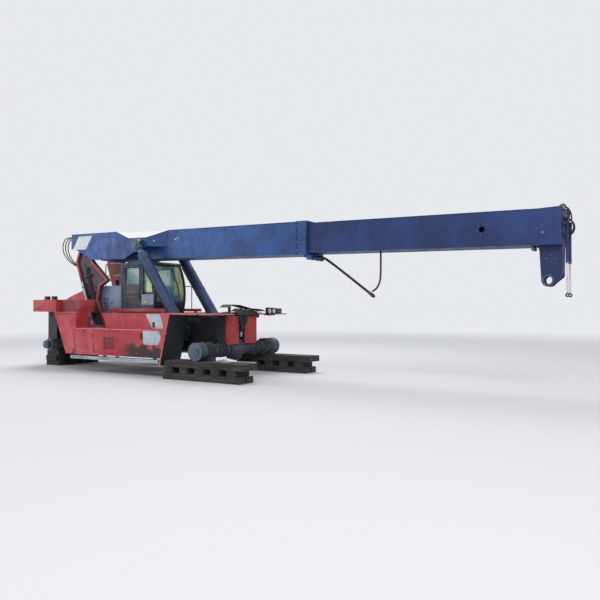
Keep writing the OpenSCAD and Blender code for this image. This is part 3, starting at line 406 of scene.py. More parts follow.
DAMPER_ROD = paint("damper_rod", (214, 206, 214), (196, 176, 172), rust=0.0, dust=0.1, grime=0.1,
                   roughness=0.2, cover=paint_on_damper_eye)
RAIL = metal("pale_steel", (168, 176, 186), (140, 146, 156), 0.45, 0.75, 0.35)
STEEL = metal("bare_steel", (120, 122, 126), (92, 92, 96), 0.45, 0.85, 0.5)
RUBBER = plain("hose_rubber", (20, 20, 23), (34, 34, 38), 0.68)
GASKET = plain("gasket", (16, 16, 18), (26, 26, 28), 0.75)
PLASTIC = plain("black_plastic", (22, 22, 25), (36, 36, 40), 0.55)
SEAT = plain("seat_cloth", (30, 31, 36), (46, 46, 52), 0.9, 20, 0.5)
ROPE = plain("rope", (34, 32, 34), (52, 50, 52), 0.9, 40, 0.6)
RAG = plain("rag", (176, 180, 186), (138, 142, 150), 0.9, 9, 0.7)
BOARD = plain("pale_board", (168, 170, 172), (140, 142, 146), 0.85, 6, 0.4)
WOOD = timber("timber", (34, 31, 33), (70, 64, 64))
GLASS = glass("cab_glass", (92, 146, 146), 0.30)
# painted reflection: a pale yellow-green pane on the cab's side window
DUSTY_REFLECTION_PANE = plain("dusty_reflection_pane", (150, 190, 150), (200, 218, 150), 0.25, 3, 0.03)
# painted shade: a dark pane over the doors' lower glass
SHADE_PANE = plain("shade_pane", (40, 34, 38), (60, 50, 54), 0.22, 3, 0.03)
LAMP_GLASS = plain("lamp_glass", (190, 200, 206), (160, 170, 178), 0.2, 14, 0.05)
AMBER = plain("amber_lens", (214, 110, 30), (190, 88, 24), 0.25, 10, 0.05)
LENS_RED = plain("red_lens", (150, 24, 22), (120, 20, 20), 0.25, 10, 0.05)

# The CAD nodes' materials; nodes that come in pairs are named without their side
NODE_MATERIALS = (
    (CHASSIS_RED, "chassis"), (SLAB_RED, "counterweight"), (FENDER_RED, "front_fenders"), (MAROON, "mast"),
    (RED, "engine_hood side_box locker_door cab_rails"), (BLACK_PAINT, "front_cover"),
    (RAIL, "mast_pipe step_rails"), (AXLE, "engine drive_axle steer_axle knuckle"),
    (HUB, "hub_front hub_rear"), (CAB, "cab_shell cab_roof cab_door"), (GLASS, "cab_glass door_glass"),
    (SEAT, "seat"), (PLASTIC, "steering_column"), (GREY, "rear_box"), (WOOD, "timbers_front timbers_rear"),
    (BOOM, "boom_outer"), (BOOM_INNER, "boom_inner damper_lugs damper_barrel"), (CYLINDER, "lift_barrel"),
    (LIFT_ROD, "lift_rod"), (DAMPER_ROD, "damper_rod"), (RUBBER, "tail_hoses head_hoses hanging_hose"),
    (ROPE, "hanging_rope"))
MATERIAL_OF = {name: material for material, names in NODE_MATERIALS for name in names.split()}
for name, node in frame["nodes"].items():
    node.data.materials.clear()
    node.data.materials.append(MATERIAL_OF[name.removesuffix("_right").removesuffix("_left")])


# Building pieces
class Piece:
    """One object of several simple forms, in the row frame, that rides on one body."""

    def __init__(self, name, body, *materials):
        self.name, self.body, self.materials = name, body, materials
        self.mesh = bmesh.new()

    def face(self, corners, material):
        """A face between corners; without a material it takes the piece's first one."""
        slot = self.materials.index(material) if material else 0
        self.mesh.faces.new(corners).material_index = slot

    def faces(self, points, faces, material=None):
        made = [self.mesh.verts.new(p) for p in points]
        for f in faces:
            self.face([made[i] for i in f], material)

    def box(self, low, high, material=None, turn=None):
        """A box between two corners; turn is (angle, axis), about its middle."""
        low, high = Vector(low), Vector(high)
        centre, half = (low + high) / 2, (high - low) / 2
        rotation = Matrix.Rotation(turn[0], 3, turn[1]) if turn else Matrix.Identity(3)
        corners = [centre + rotation @ Vector((sx * half.x, sy * half.y, sz * half.z))
                   for sx in (-1, 1) for sy in (-1, 1) for sz in (-1, 1)]
        sides = (0, 1, 3, 2), (4, 6, 7, 5), (0, 4, 5, 1), (2, 3, 7, 6), (0, 2, 6, 4), (1, 5, 7, 3)
        self.faces(corners, sides, material)

    def strips(self, y, side, rows):
        """Flat boxes that lie on a side face: rows of (x0, x1, z0, z1, how far out, material)."""
        for x0, x1, z0, z1, out, material in rows:
            self.box(at(x0, y, z0), at(x1, y + side * out, z1), material)

    def slats(self, y, side, x0, x1, low, pitch, count, tall, out, material):
        """Evenly spaced louvres on a side face."""
        heights = [low + i * pitch for i in range(count)]
        self.strips(y, side, [(x0, x1, z, z + tall, out, material) for z in heights])

    def lathe(self, start, axis, profile, material=None, sides=20):
        """Rings of (distance along the axis, radius) joined round it; a radius of 0 closes an end."""
        start, axis = Vector(start), Vector(axis).normalized()
        side = axis.orthogonal().normalized()
        other = axis.cross(side)
        rings = []
        for along, radius in profile:
            centre = start + axis * along
            points = circle(centre, side, other, radius, sides) if radius > 0 else [centre]
            rings.append([self.mesh.verts.new(p) for p in points])
        for one, two in zip(rings, rings[1:]):
            for i in range(sides):
                j = (i + 1) % sides
                corners = [one[i % len(one)], one[j % len(one)], two[j % len(two)], two[i % len(two)]]
                corners = list(dict.fromkeys(corners))
                if len(corners) > 2:
                    self.face(corners, material)

    def rod(self, start, end, radius, material=None, sides=14):
        start, end = Vector(start), Vector(end)
        length = (end - start).length
        self.lathe(start, end - start, [(0, 0), (0, radius), (length, radius), (length, 0)], material, sides)

    def collar(self, start, axis, inner, outer, thick, material=None, sides=40):
        """A band round a bar, open where it lies on the bar."""
        profile = [(0, inner), (0, outer), (thick, outer), (thick, inner)]
        self.lathe(start, axis, profile, material, sides)

    def ring(self, start, axis, inner, outer, thick, material=None, sides=32):
        """A washer, closed all round."""
        profile = [(0, inner), (0, outer), (thick, outer), (thick, inner), (0, inner)]
        self.lathe(start, axis, profile, material, sides)

    def cap(self, start, axis, radius, thick, material=None, sides=20, edge=None):
        """A stud with an open foot; edge is the (height, radius) where its cut edge ends."""
        profile = [(0, radius), (thick, radius)] + ([edge] if edge else [])
        self.lathe(start, axis, profile + [(profile[-1][0], 0)], material, sides)

    def bolt(self, place, axis, size, material=None):
        """A washer and a six-sided head, size across the corners."""
        axis = Vector(axis).normalized()
        washer = [(0, 0), (0, 0.72), (0.12, 0.72), (0.12, 0)]
        nut = [(0, 0), (0, 0.5), (0.36, 0.5), (0.42, 0.4), (0.42, 0)]
        for profile, lift, sides in ((washer, 0, 12), (nut, 0.1, 6)):
            profile = [(along * size, radius * size) for along, radius in profile]
            self.lathe(Vector(place) + axis * size * lift, axis, profile, material, sides)

    def bolts(self, centre, axis, radius, count, size, material=None):
        axis = Vector(axis).normalized()
        side = axis.orthogonal().normalized()
        for place in circle(Vector(centre), side, axis.cross(side), radius, count, 0.5):
            self.bolt(place, axis, size, material)

    def plate(self, outline, thick, material=None):
        """A flat outline of points, pushed along the vector thick."""
        n = len(outline)
        points = [Vector(p) for p in outline] + [Vector(p) + Vector(thick) for p in outline]
        faces = [tuple(range(n - 1, -1, -1)), tuple(range(n, 2 * n))]
        faces += [(i, (i + 1) % n, (i + 1) % n + n, i + n) for i in range(n)]
        self.faces(points, faces, material)

    def panel(self, y, out, outline, material=None, place=at):
        """A plate on a side face, from (forward, up) pairs."""
        self.plate(at_y(y, outline, place), (0, out, 0), material)

    def folded(self, x, outline, thin, wide):
        """A bent sheet, from (left, up) pairs across the machine, pushed forward."""
        below = [(y, z - thin) for y, z in reversed(outline)]
        self.plate(at_x(x, outline) + at_x(x, below), (wide, 0, 0))

    def tube(self, points, radius, material=None, sides=10, steps=5):
        """A round hose through points, along a smooth curve."""
        path = smooth(points, steps)
        previous = None
        for i, centre in enumerate(path):
            ahead = (path[min(i + 1, len(path) - 1)] - path[max(i - 1, 0)]).normalized()
            side = (ahead.orthogonal() if i == 0 else side - ahead * side.dot(ahead)).normalized()
            other = ahead.cross(side)
            ring = [self.mesh.verts.new(p) for p in circle(centre, side, other, radius, sides)]
            if previous:
                for k in range(sides):
                    j = (k + 1) % sides
                    corners = previous[k], previous[j], ring[j], ring[k]
                    self.face(corners, material)
            else:
                self.face(ring[::-1], material)
            previous = ring
        self.face(previous, material)

    def done(self, bevel=0.0, sharp=38):
        bmesh.ops.recalc_face_normals(self.mesh, faces=self.mesh.faces)
        data = bpy.data.meshes.new(self.name)
        self.mesh.to_mesh(data)
        self.mesh.free()
        for material in self.materials:
            data.materials.append(material)
        data.shade_smooth()
        data.set_sharp_from_angle(angle=math.radians(sharp))
        made = shown(self.name, data)
        if bevel:
            edge = made.modifiers.new("edge", "BEVEL")
            edge.width = bevel
            edge.segments = 2
            edge.limit_method = "ANGLE"
        if self.body:
            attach(made, self.body)
        return made


def smooth(points, steps):
    """Points along a smooth curve through the given ones."""
    p = [Vector(q) for q in points]
    path = []
    for i in range(len(p) - 1):
        before, after = p[max(i - 1, 0)], p[min(i + 2, len(p) - 1)]
        for s in range(steps):
            t = s / steps
            path.append(p[i] * (2 * t ** 3 - 3 * t ** 2 + 1) + p[i + 1] * (3 * t ** 2 - 2 * t ** 3)
                        + (p[i + 1] - before) / 2 * (t ** 3 - 2 * t ** 2 + t)
                        + (after - p[i]) / 2 * (t ** 3 - t ** 2))
    return path + [p[-1]]


# Cords: the hose and rope under the boom
HOSE_R = 0.03
ROPE_R = 0.022
HOSE_ROUTE = at_y(0, ((2.4529, 3.031), (2.500, 3.0301), (2.570, 3.022), (2.700, 2.970), (2.900, 2.838),
                      (3.200, 2.622), (3.500, 2.402), (3.800, 2.180), (3.930, 2.085)))
ROPE_ROUTE = at_y(0, ((4.160, 3.0772), (4.163, 2.900), (4.158, 2.600), (4.140, 2.400), (4.065, 2.245),
                      (3.950, 2.160)))
ROUTE_STEPS = 5


def squashed(made):
    """Gives what hangs under the boom a mesh of its own."""
    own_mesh(made)


def hanging(name, node, route, radius, material):
    piece = Piece(name, "outer_boom", material)
    piece.tube(route, radius, material, 12, ROUTE_STEPS)
    made = piece.done()
    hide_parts(node)
    squashed(made)


HOSE_END = HOSE_ROUTE[-1]
HOSE_AHEAD = (HOSE_ROUTE[-1] - HOSE_ROUTE[-2]).normalized()
fitting = Piece("hose_end_fitting", "outer_boom", BLACK_PAINT, STEEL)
fitting.lathe(HOSE_END - HOSE_AHEAD * 0.10, HOSE_AHEAD,
              [(0, 0.0305), (0, 0.037), (0.10, 0.037), (0.10, 0.045), (0.15, 0.045), (0.15, 0.034),
               (0.19, 0.034), (0.19, 0)])
fitting.ring(HOSE_END - HOSE_AHEAD * 0.075, HOSE_AHEAD, 0.037, 0.040, 0.018, STEEL)
fitting_made = fitting.done()
hanging("thick_hose", "hanging_hose", HOSE_ROUTE, HOSE_R, RUBBER)
hanging("thick_rope", "hanging_rope", ROPE_ROUTE, ROPE_R, ROPE)
squashed(fitting_made)

# The boom: side and top faces, and places along it
BOOM_SIDE, BOOM_TOP, TAIL_FACE = 0.39, 0.40, 0.71
INNER_SIDE, INNER_TOP, EAR_FACE = 0.35, 0.36, 0.16
HEAD_A = 12.98
FACE_A = HEAD_A + 0.44
BORE_A, BORE_C = HEAD_A + 0.175, -1.047
PORT_A = HEAD_A - 1.09
MOUTH_A = 7.7
COLLAR_A = MOUTH_A - 0.31
COLLAR_FACE = BOOM_SIDE + 0.012

plate = Piece("white_plate", "outer_boom", WHITE)
PLATE = ((-0.205, 0.325), (0.385, 0.325), (0.115, -0.075), (-0.475, -0.075))
plate.panel(-TAIL_FACE - 0.001, -0.003, PLATE, WHITE, on_boom)
plate.done()

trim = Piece("boom_trim", "outer_boom", BOOM, STEEL)
inner = Piece("boom_inner_trim", "inner_boom", BOOM_INNER, STEEL, HUB)
for side in (-1, 1):
    out = (0, side, 0)
    for c in (-BOOM_TOP, BOOM_TOP - 0.018):
        trim.panel(side * BOOM_SIDE, side * 0.012, rect(3.2, COLLAR_A, c, c + 0.018), BOOM, on_boom)
    for a in (COLLAR_A + 0.05, MOUTH_A - 0.06):
        for c in (-0.3, -0.1, 0.1, 0.3):
            trim.bolt(on_boom(a, side * COLLAR_FACE, c), out, 0.036, STEEL)
    for a in (COLLAR_A, MOUTH_A - 0.022):
        trim.panel(side * COLLAR_FACE, side * 0.02, rect(a, a + 0.022, -0.41, 0.41), BOOM, on_boom)
    # the rings round the lift cylinders' pins
    trim.ring(on_boom(LIFT_PIN_A, side * TAIL_FACE, LIFT_PIN_C), out, 0.0, 0.085, 0.003)
    trim.bolts(on_boom(LIFT_PIN_A, side * TAIL_FACE, LIFT_PIN_C), out, 0.1, 6, 0.02, STEEL)

    y = side * INNER_SIDE
    inner.ring(on_boom(PORT_A, y, 0), out, 0.06, 0.085, 0.012)
    inner.bolts(on_boom(PORT_A, y, 0), out, 0.105, 6, 0.016, STEEL)
    # the strap where the head is welded to the box, and the strips along its edges
    inner.panel(y, side * 0.006, rect(HEAD_A - 0.16, HEAD_A + 0.02, -0.33, 0.33), BOOM_INNER, on_boom)
    inner.panel(y, side * 0.008, rect(HEAD_A + 0.30, HEAD_A + 0.322, -0.34, 0.36), BOOM_INNER, on_boom)
    for c in (-INNER_TOP, INNER_TOP - 0.016):
        inner.panel(y, side * 0.008, rect(MOUTH_A + 0.7, HEAD_A - 0.2, c, c + 0.016), BOOM_INNER, on_boom)
    # the ears' bore rings, edge strips and bolts
    ear = side * EAR_FACE
    inner.ring(on_boom(BORE_A, ear, BORE_C), out, 0.082, 0.112, 0.014, HUB)
    inner.bolts(on_boom(BORE_A, ear + side * 0.014, BORE_C), out, 0.097, 6, 0.012, STEEL)
    inner.panel(ear, side * 0.01, rect(HEAD_A + 0.40, HEAD_A + 0.43, -0.40, -0.95), BOOM_INNER, on_boom)
    inner.bolts(on_boom(HEAD_A + 0.22, ear, -0.62), out, 0.07, 4, 0.022, STEEL)
    # a hydraulic fitting on the head's side
    inner.rod(on_boom(HEAD_A + 0.10, y, -0.12), on_boom(HEAD_A + 0.10, y + side * 0.03, -0.12),
              0.03, STEEL, 12)
trim.done()
# a short roller under the inner boom's end
ROLLER_C = -INNER_TOP - 0.06
inner.rod(on_boom(HEAD_A - 0.115, 0.1, ROLLER_C), on_boom(HEAD_A - 0.115, -0.2, ROLLER_C), 0.032, STEEL)
inner.box(on_boom(HEAD_A - 0.14, -0.18, ROLLER_C - 0.03),
          on_boom(HEAD_A - 0.09, 0.08, 0.005 - INNER_TOP), BOOM_INNER)
inner.done()

scuffs = Piece("boom_scuffs", "outer_boom", WHITE)
for a, c, face, w, h in ((2.94, 0.08, TAIL_FACE, 0.05, 0.04), (3.44, 0.13, BOOM_SIDE, 0.06, 0.03),
                         (3.52, 0.165, BOOM_SIDE, 0.07, 0.03)):
    blot = ((-0.5, -0.3), (0.1, -0.5), (0.5, 0.1), (0.2, 0.5), (-0.3, 0.35))
    scuffs.panel(-face - 0.001, -0.002, [(a + da * w, c + dc * h) for da, dc in blot], WHITE, on_boom)
scuffs.done()

# The hoses between the boom's tail and the right mast
TAIL_HOSE_R = 0.015
TAIL_HOSE_Y = middle("tail_hoses").y
TAIL_ROUTE = ((-5.866, 3.925), (-6.05, 3.95), (-6.25, 3.89), (-6.34, 3.72), (-6.30, 3.50), (-6.14, 3.31),
              (-5.90, 3.15), (-5.665, 3.05))
tail_loops = Piece("tail_hose_loops", None, RUBBER, STEEL)
for y, share in ((-0.042, 1.0), (0.0, 0.88), (0.042, 0.76)):
    ends = Vector(TAIL_ROUTE[0]), Vector(TAIL_ROUTE[-1])
    loop = []
    for i, point in enumerate(TAIL_ROUTE):
        chord = ends[0].lerp(ends[1], i / (len(TAIL_ROUTE) - 1))
        x, z = chord + (Vector(point) - chord) * share
        loop.append(at(x, TAIL_HOSE_Y + y, z))
    tail_loops.tube(loop, TAIL_HOSE_R)
    for here, inward in ((loop[0], loop[1]), (loop[-1], loop[-2])):
        tail_loops.collar(here, inward - here, TAIL_HOSE_R, 0.020, 0.04, STEEL, 12)
tail_loops_made = tail_loops.done()
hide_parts("tail_hoses")
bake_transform(tail_loops_made)


def on_head(out, y, c):
    """A place off the head's front plate."""
    return on_boom(FACE_A + out, y, c)


# Hoses and fittings on the head
head = Piece("head_fittings", "inner_boom", RUBBER, STEEL, BLACK_PAINT)
for c in (0.18, -0.18):
    for y in (-0.06, 0, 0.06):
        head.lathe(on_head(0, y, c), ALONG, [(0, 0.024), (0.03, 0.024), (0.032, 0.019), (0.055, 0.019),
                                             (0.055, 0)], STEEL, 12)
    head.box(on_head(0, -0.11, c - 0.035), on_head(0.012, 0.11, c + 0.035), BLACK_PAINT)
# loose wires, hose loops over the top, and a ring that hangs from a clip beside the left damper
for y, drop in ((-0.245, 0.30), (-0.27, 0.22), (0.25, 0.34)):
    wire = ((0, 0.30), (0.07, 0.31), (0.10, 0.20), (0.08, 0.20 - drop), (0.03, 0.16 - drop), (0, 0.18 - drop))
    head.tube(at_y(y, wire, on_head), 0.008, RUBBER, 8)
for y, rise, out in ((-0.20, 0.42, 0.10), (-0.13, 0.40, 0.115), (0.16, 0.41, 0.105)):
    loop = ((-0.06, 0.385), (-0.04, rise), (0.02, rise + 0.01), (out * 0.75, 0.34), (out, 0.24),
            (out * 0.8, 0.16), (0, 0.12))
    head.tube(at_y(y, loop, on_head), 0.013, RUBBER, 8)
head.box(on_head(0, 0.275, 0.05), on_head(0.05, 0.305, 0.10), BLACK_PAINT)
hanging_ring = [(0.03 + 0.062 * math.sin(t), 0.005 + 0.062 * math.cos(t)) for t in spread(0, 2 * math.pi, 12)]
head.tube(at_y(0.29, hanging_ring, on_head), 0.009, BLACK_PAINT, 8, 2)
for c in (-0.30, 0.33):
    for y in (-0.32, 0.32):
        head.bolt(on_head(0, y, c), ALONG, 0.024, STEEL)
head.done()

# Lift cylinders and dampers
LIFT_FOOT = Vector(JOINTS["lift_swing_right"]["pos_m"])
LIFT_UP = Vector(JOINTS["lift_stroke_right"]["axis"])
LIFT_BACK = Vector((-LIFT_UP.z, 0, LIFT_UP.x))
LIFT_LONG = (on_boom(LIFT_PIN_A, 0, LIFT_PIN_C) - Vector((LIFT_FOOT.x, 0, LIFT_FOOT.z))).length
LIFT_LEAN = math.atan2(LIFT_UP.x, LIFT_UP.z)
BARREL_R = 0.14
BARREL_LONG = 2.64
GLAND_BOLTS_R = 0.134
PORT_HALF = Vector((0.03, 0, 0.03))
PIPE_R = 0.019
PIPE_BACK = BARREL_R + 0.045
PIPE = ((0.34, BARREL_R - 0.01), (0.36, PIPE_BACK - 0.01), (0.48, PIPE_BACK), (1.4, PIPE_BACK),
        (2.3, PIPE_BACK), (2.42, PIPE_BACK - 0.01), (2.5, BARREL_R - 0.01))
FOOT_HOSE = ((0.30, BARREL_R + 0.03), (0.2, 0.24), (0.05, 0.27), (-0.08, 0.2))


def on_lift(side, along, back=0.0, out=0.0):
    """A point on a lift cylinder: along it from its foot, behind it, and away from the machine's middle."""
    foot = Vector((LIFT_FOOT.x, side * (abs(LIFT_FOOT.y) + out), LIFT_FOOT.z))
    return foot + LIFT_UP * along + LIFT_BACK * back


for word, side in SIDES:
    out = (0, side, 0)
    barrel = Piece("lift_barrel_trim_" + word, "lift_barrel_" + word, CYLINDER, STEEL, RUBBER, BLACK_PAINT)
    gland = on_lift(side, BARREL_LONG)
    barrel.lathe(gland, LIFT_UP,
                 [(0, 0.091), (0, 0.125), (0.022, 0.12), (0.026, 0.1), (0.026, 0.091)], BLACK_PAINT, 40)
    for place in circle(gland, LIFT_BACK, Vector((0, 1, 0)), GLAND_BOLTS_R, 12):
        barrel.bolt(place, LIFT_UP, 0.02, STEEL)
    for along in (0.42, 2.44):
        barrel.collar(on_lift(side, along), LIFT_UP, BARREL_R, BARREL_R + 0.012, 0.05)
    # the oil pipe along the rear, its two ports and its clamps
    barrel.tube([on_lift(side, along, back) for along, back in PIPE], PIPE_R, BLACK_PAINT, 10, 6)
    for along in (0.34, 2.5):
        near, off = (on_lift(side, along, BARREL_R + 0.014, shift) for shift in (-0.035, 0.035))
        barrel.box(near - PORT_HALF, off + PORT_HALF, CYLINDER, (LIFT_LEAN, "Y"))
    for along in (0.8, 1.4, 2.0):
        barrel.collar(on_lift(side, along), LIFT_UP, BARREL_R, BARREL_R + 0.006, 0.03)
        barrel.collar(on_lift(side, along - 0.012, PIPE_BACK), LIFT_UP, PIPE_R, 0.028, 0.05, STEEL, 14)
    barrel.tube([on_lift(side, along, back, -0.02) for along, back in FOOT_HOSE], 0.02, RUBBER)
    barrel.done()

    rod = Piece("lift_rod_trim_" + word, "lift_rod_" + word, CYLINDER, STEEL)
    rod.ring(on_lift(side, LIFT_LONG, 0, 0.075), out, 0.062, 0.1, 0.008)
    rod.bolts(on_lift(side, LIFT_LONG, 0, 0.095), out, 0.035, 3, 0.02, STEEL)
    neck = [(0, 0.085), (0, 0.1), (0.05, 0.12), (0.09, 0.12)]
    rod.lathe(on_lift(side, LIFT_LONG - 0.18), LIFT_UP, neck, CYLINDER, 32)
    rod.done()

    foot = Piece("lift_foot_trim_" + word, "root", STEEL, RED)
    pin = on_lift(side, 0, 0, 0.101)
    foot.ring(pin, out, 0.0, 0.052, 0.01)
    foot.box(pin + Vector((0.07, 0, -0.03)), pin + Vector((0.135, side * 0.012, 0.03)), RED)
    foot.bolt(pin + Vector((0.11, side * 0.012, 0)), out, 0.024)
    foot.done()

    damper = Piece("damper_trim_" + word, "damper_barrel_" + word, STEEL, BLACK_PAINT)
    low = middle("damper_barrel_" + word)
    low.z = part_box("damper_barrel_" + word)[0][2]
    damper.lathe(low, (0, 0, 1), [(0, 0.0182), (0, 0.033), (0.03, 0.034), (0.035, 0.0302)], STEEL, 24)
    damper.collar(low + Vector((0, 0, 0.66)), (0, 0, 1), 0.0302, 0.035, 0.03, BLACK_PAINT, 24)
    damper.done()

# Masts
MAST_FACE = 0.665
CHANNEL_FACE = MAST_FACE - 0.06
STIFFENER_HALF = Vector((0, 0, 0.012))
for word, side in SIDES:
    out = (0, side, 0)
    mast = Piece("mast_trim_" + word, "root", STEEL, RUBBER, BLACK_PAINT)
    # stiffeners across the channel, and the pipe and hoses that climb in it
    for x, z in ((-5.17, 2.74), (-5.02, 2.2), (-4.82, 1.62)):
        deep, proud = at(x - 0.16, side * CHANNEL_FACE, z), at(x + 0.2, side * (MAST_FACE - 0.004), z)
        mast.box(deep - STIFFENER_HALF, proud + STIFFENER_HALF, BLACK_PAINT, (math.radians(-18), "Y"))
    for dx, material in ((0, BLACK_PAINT), (0.052, RUBBER), (0.104, RUBBER)):
        climb = ((-5.26, 3.0), (-5.22, 2.75), (-5.02, 2.2), (-4.84, 1.7), (-4.70, 1.32))
        mast.tube(at_y(side * (CHANNEL_FACE + 0.022), [(x + dx, z) for x, z in climb]), 0.017, material, 8)
    boss = at(-5.3, side * MAST_FACE, 3.62)
    mast.ring(boss, out, 0.08, 0.13, 0.006)
    mast.bolts(boss, out, 0.17, 10, 0.014)
    mast.done()

pipe = Piece("mast_pipe_clamps", "root", STEEL, BLACK_PAINT)
PIPE_LOW, PIPE_HIGH = Vector((-4.87, 0, 1.30)), Vector((-5.36, 0, 2.56))
MAST_PIPE_Y, MAST_PIPE_R = -0.7053, 0.040
for share in (0.12, 0.5, 0.86):
    p = PIPE_LOW.lerp(PIPE_HIGH, share)
    clamp = at(p.x, MAST_PIPE_Y, p.z)
    pipe.collar(clamp, PIPE_HIGH - PIPE_LOW, MAST_PIPE_R, MAST_PIPE_R + 0.006, 0.03, BLACK_PAINT, 24)
    pipe.box(at(p.x - 0.06, -MAST_FACE - 0.002, p.z - 0.015), at(p.x + 0.06, -MAST_FACE, p.z + 0.02))
pipe.done()

# Hood and exhaust
HOOD_HALF = 0.52
hood = Piece("hood_trim", "root", RED, BLACK_PAINT, STEEL)
for side in (-1, 1):
    y = side * HOOD_HALF
    hood.slats(y, side, -5.23, -4.85, 2.06, 0.022, 9, 0.011, 0.012, BLACK_PAINT)
    hood.strips(y, side, [(x - 0.012, x + 0.012, 1.3, 2.28, 0.006, RED) for x in (-5.26, -4.80)])
    hood.strips(y, side, [(-4.90, -4.83, z, z + 0.05, 0.02, STEEL) for z in (1.45, 1.85)])
for x, z in ((-5.9, 2.217174), (-5.3, 2.333)):
    hood.box(at(x - 0.01, -0.51, z - 0.006), at(x + 0.01, 0.51, z + 0.006))
EXHAUST_TOP = at(-4.95, 0.3, 2.62)
EXHAUST_LONG = 0.32
EXHAUST_R = 0.055
hood.rod(EXHAUST_TOP - Vector((0, 0, EXHAUST_LONG)), EXHAUST_TOP, EXHAUST_R, BLACK_PAINT, 20)
hood.lathe(EXHAUST_TOP, (0, 0, 1), [(0, EXHAUST_R), (0, 0.062), (0.03, 0.062), (0.035, 0.05), (0.01, 0.045),
                                    (0.01, 0)], BLACK_PAINT)
hood.done()

# Counterweight
SLAB_TOP = 2.02
CORNER_X, CORNER_Y, CORNER_R = -5.95, 0.6, 1.1
LAMP_TURN = math.radians(34)
SLAB_LAMP_Z = 1.84
PANEL_FACE = 1.70
back = Piece("counterweight_trim", "root", RED, BLACK_PAINT, LENS_RED, STEEL, PALE)
for side in (-1, 1):
    # tail lamps on the slab's round corner
    outward = Vector((-math.cos(LAMP_TURN), side * math.sin(LAMP_TURN), 0))
    along = Vector((-outward.y, outward.x, 0))
    lamp = at(CORNER_X, side * CORNER_Y, SLAB_LAMP_Z) + outward * (CORNER_R + 0.004)
    half = Vector((0.012, 0.16, 0.065))
    back.box(lamp - half, lamp + half, BLACK_PAINT, (-side * LAMP_TURN, "Z"))
    for shift, material in ((-0.1, LENS_RED), (0, LENS_RED), (0.1, PALE)):
        back.cap(lamp + along * shift + outward * 0.012, outward, 0.042, 0.004, material, 20, (0.008, 0.03))
    # the service panel over the steer wheel's arch
    y = side * PANEL_FACE
    back.panel(y, side * 0.004, rect(-5.92, -5.30, 1.70, 1.98))
    for x in (-5.87, -5.35):
        back.bolt(at(x, y + side * 0.004, SLAB_LAMP_Z), (0, side, 0), 0.03, STEEL)
# dark boxes and lifting eyes on the slab
for x in (-6.24, -5.91):
    back.box(at(x, -1.36, SLAB_TOP), at(x + 0.12, -1.24, SLAB_TOP + 0.11), BLACK_PAINT)
for x in (-6.6, -5.45):
    for y in (-1.1, 1.1):
        back.lathe(at(x, y, SLAB_TOP), (0, 0, 1), [(0, 0.07), (0.018, 0.07), (0.018, 0.03), (0.004, 0.03),
                                                   (0.004, 0)], STEEL)
# the tow pin and its jaw at the back
back.box(at(-6.93, -0.16, 0.98), at(-6.90, 0.16, 1.24), BLACK_PAINT)
for z in (1.02, 1.17):
    jaw = ((-6.91, -0.09), (-6.91, 0.09), (-7.02, 0.05), (-7.02, -0.05))
    back.plate([at(x, y, z) for x, y in jaw], (0, 0, 0.035), BLACK_PAINT)
back.rod(at(-6.97, 0, 0.98), at(-6.97, 0, 1.27), 0.022, STEEL)
back.done()

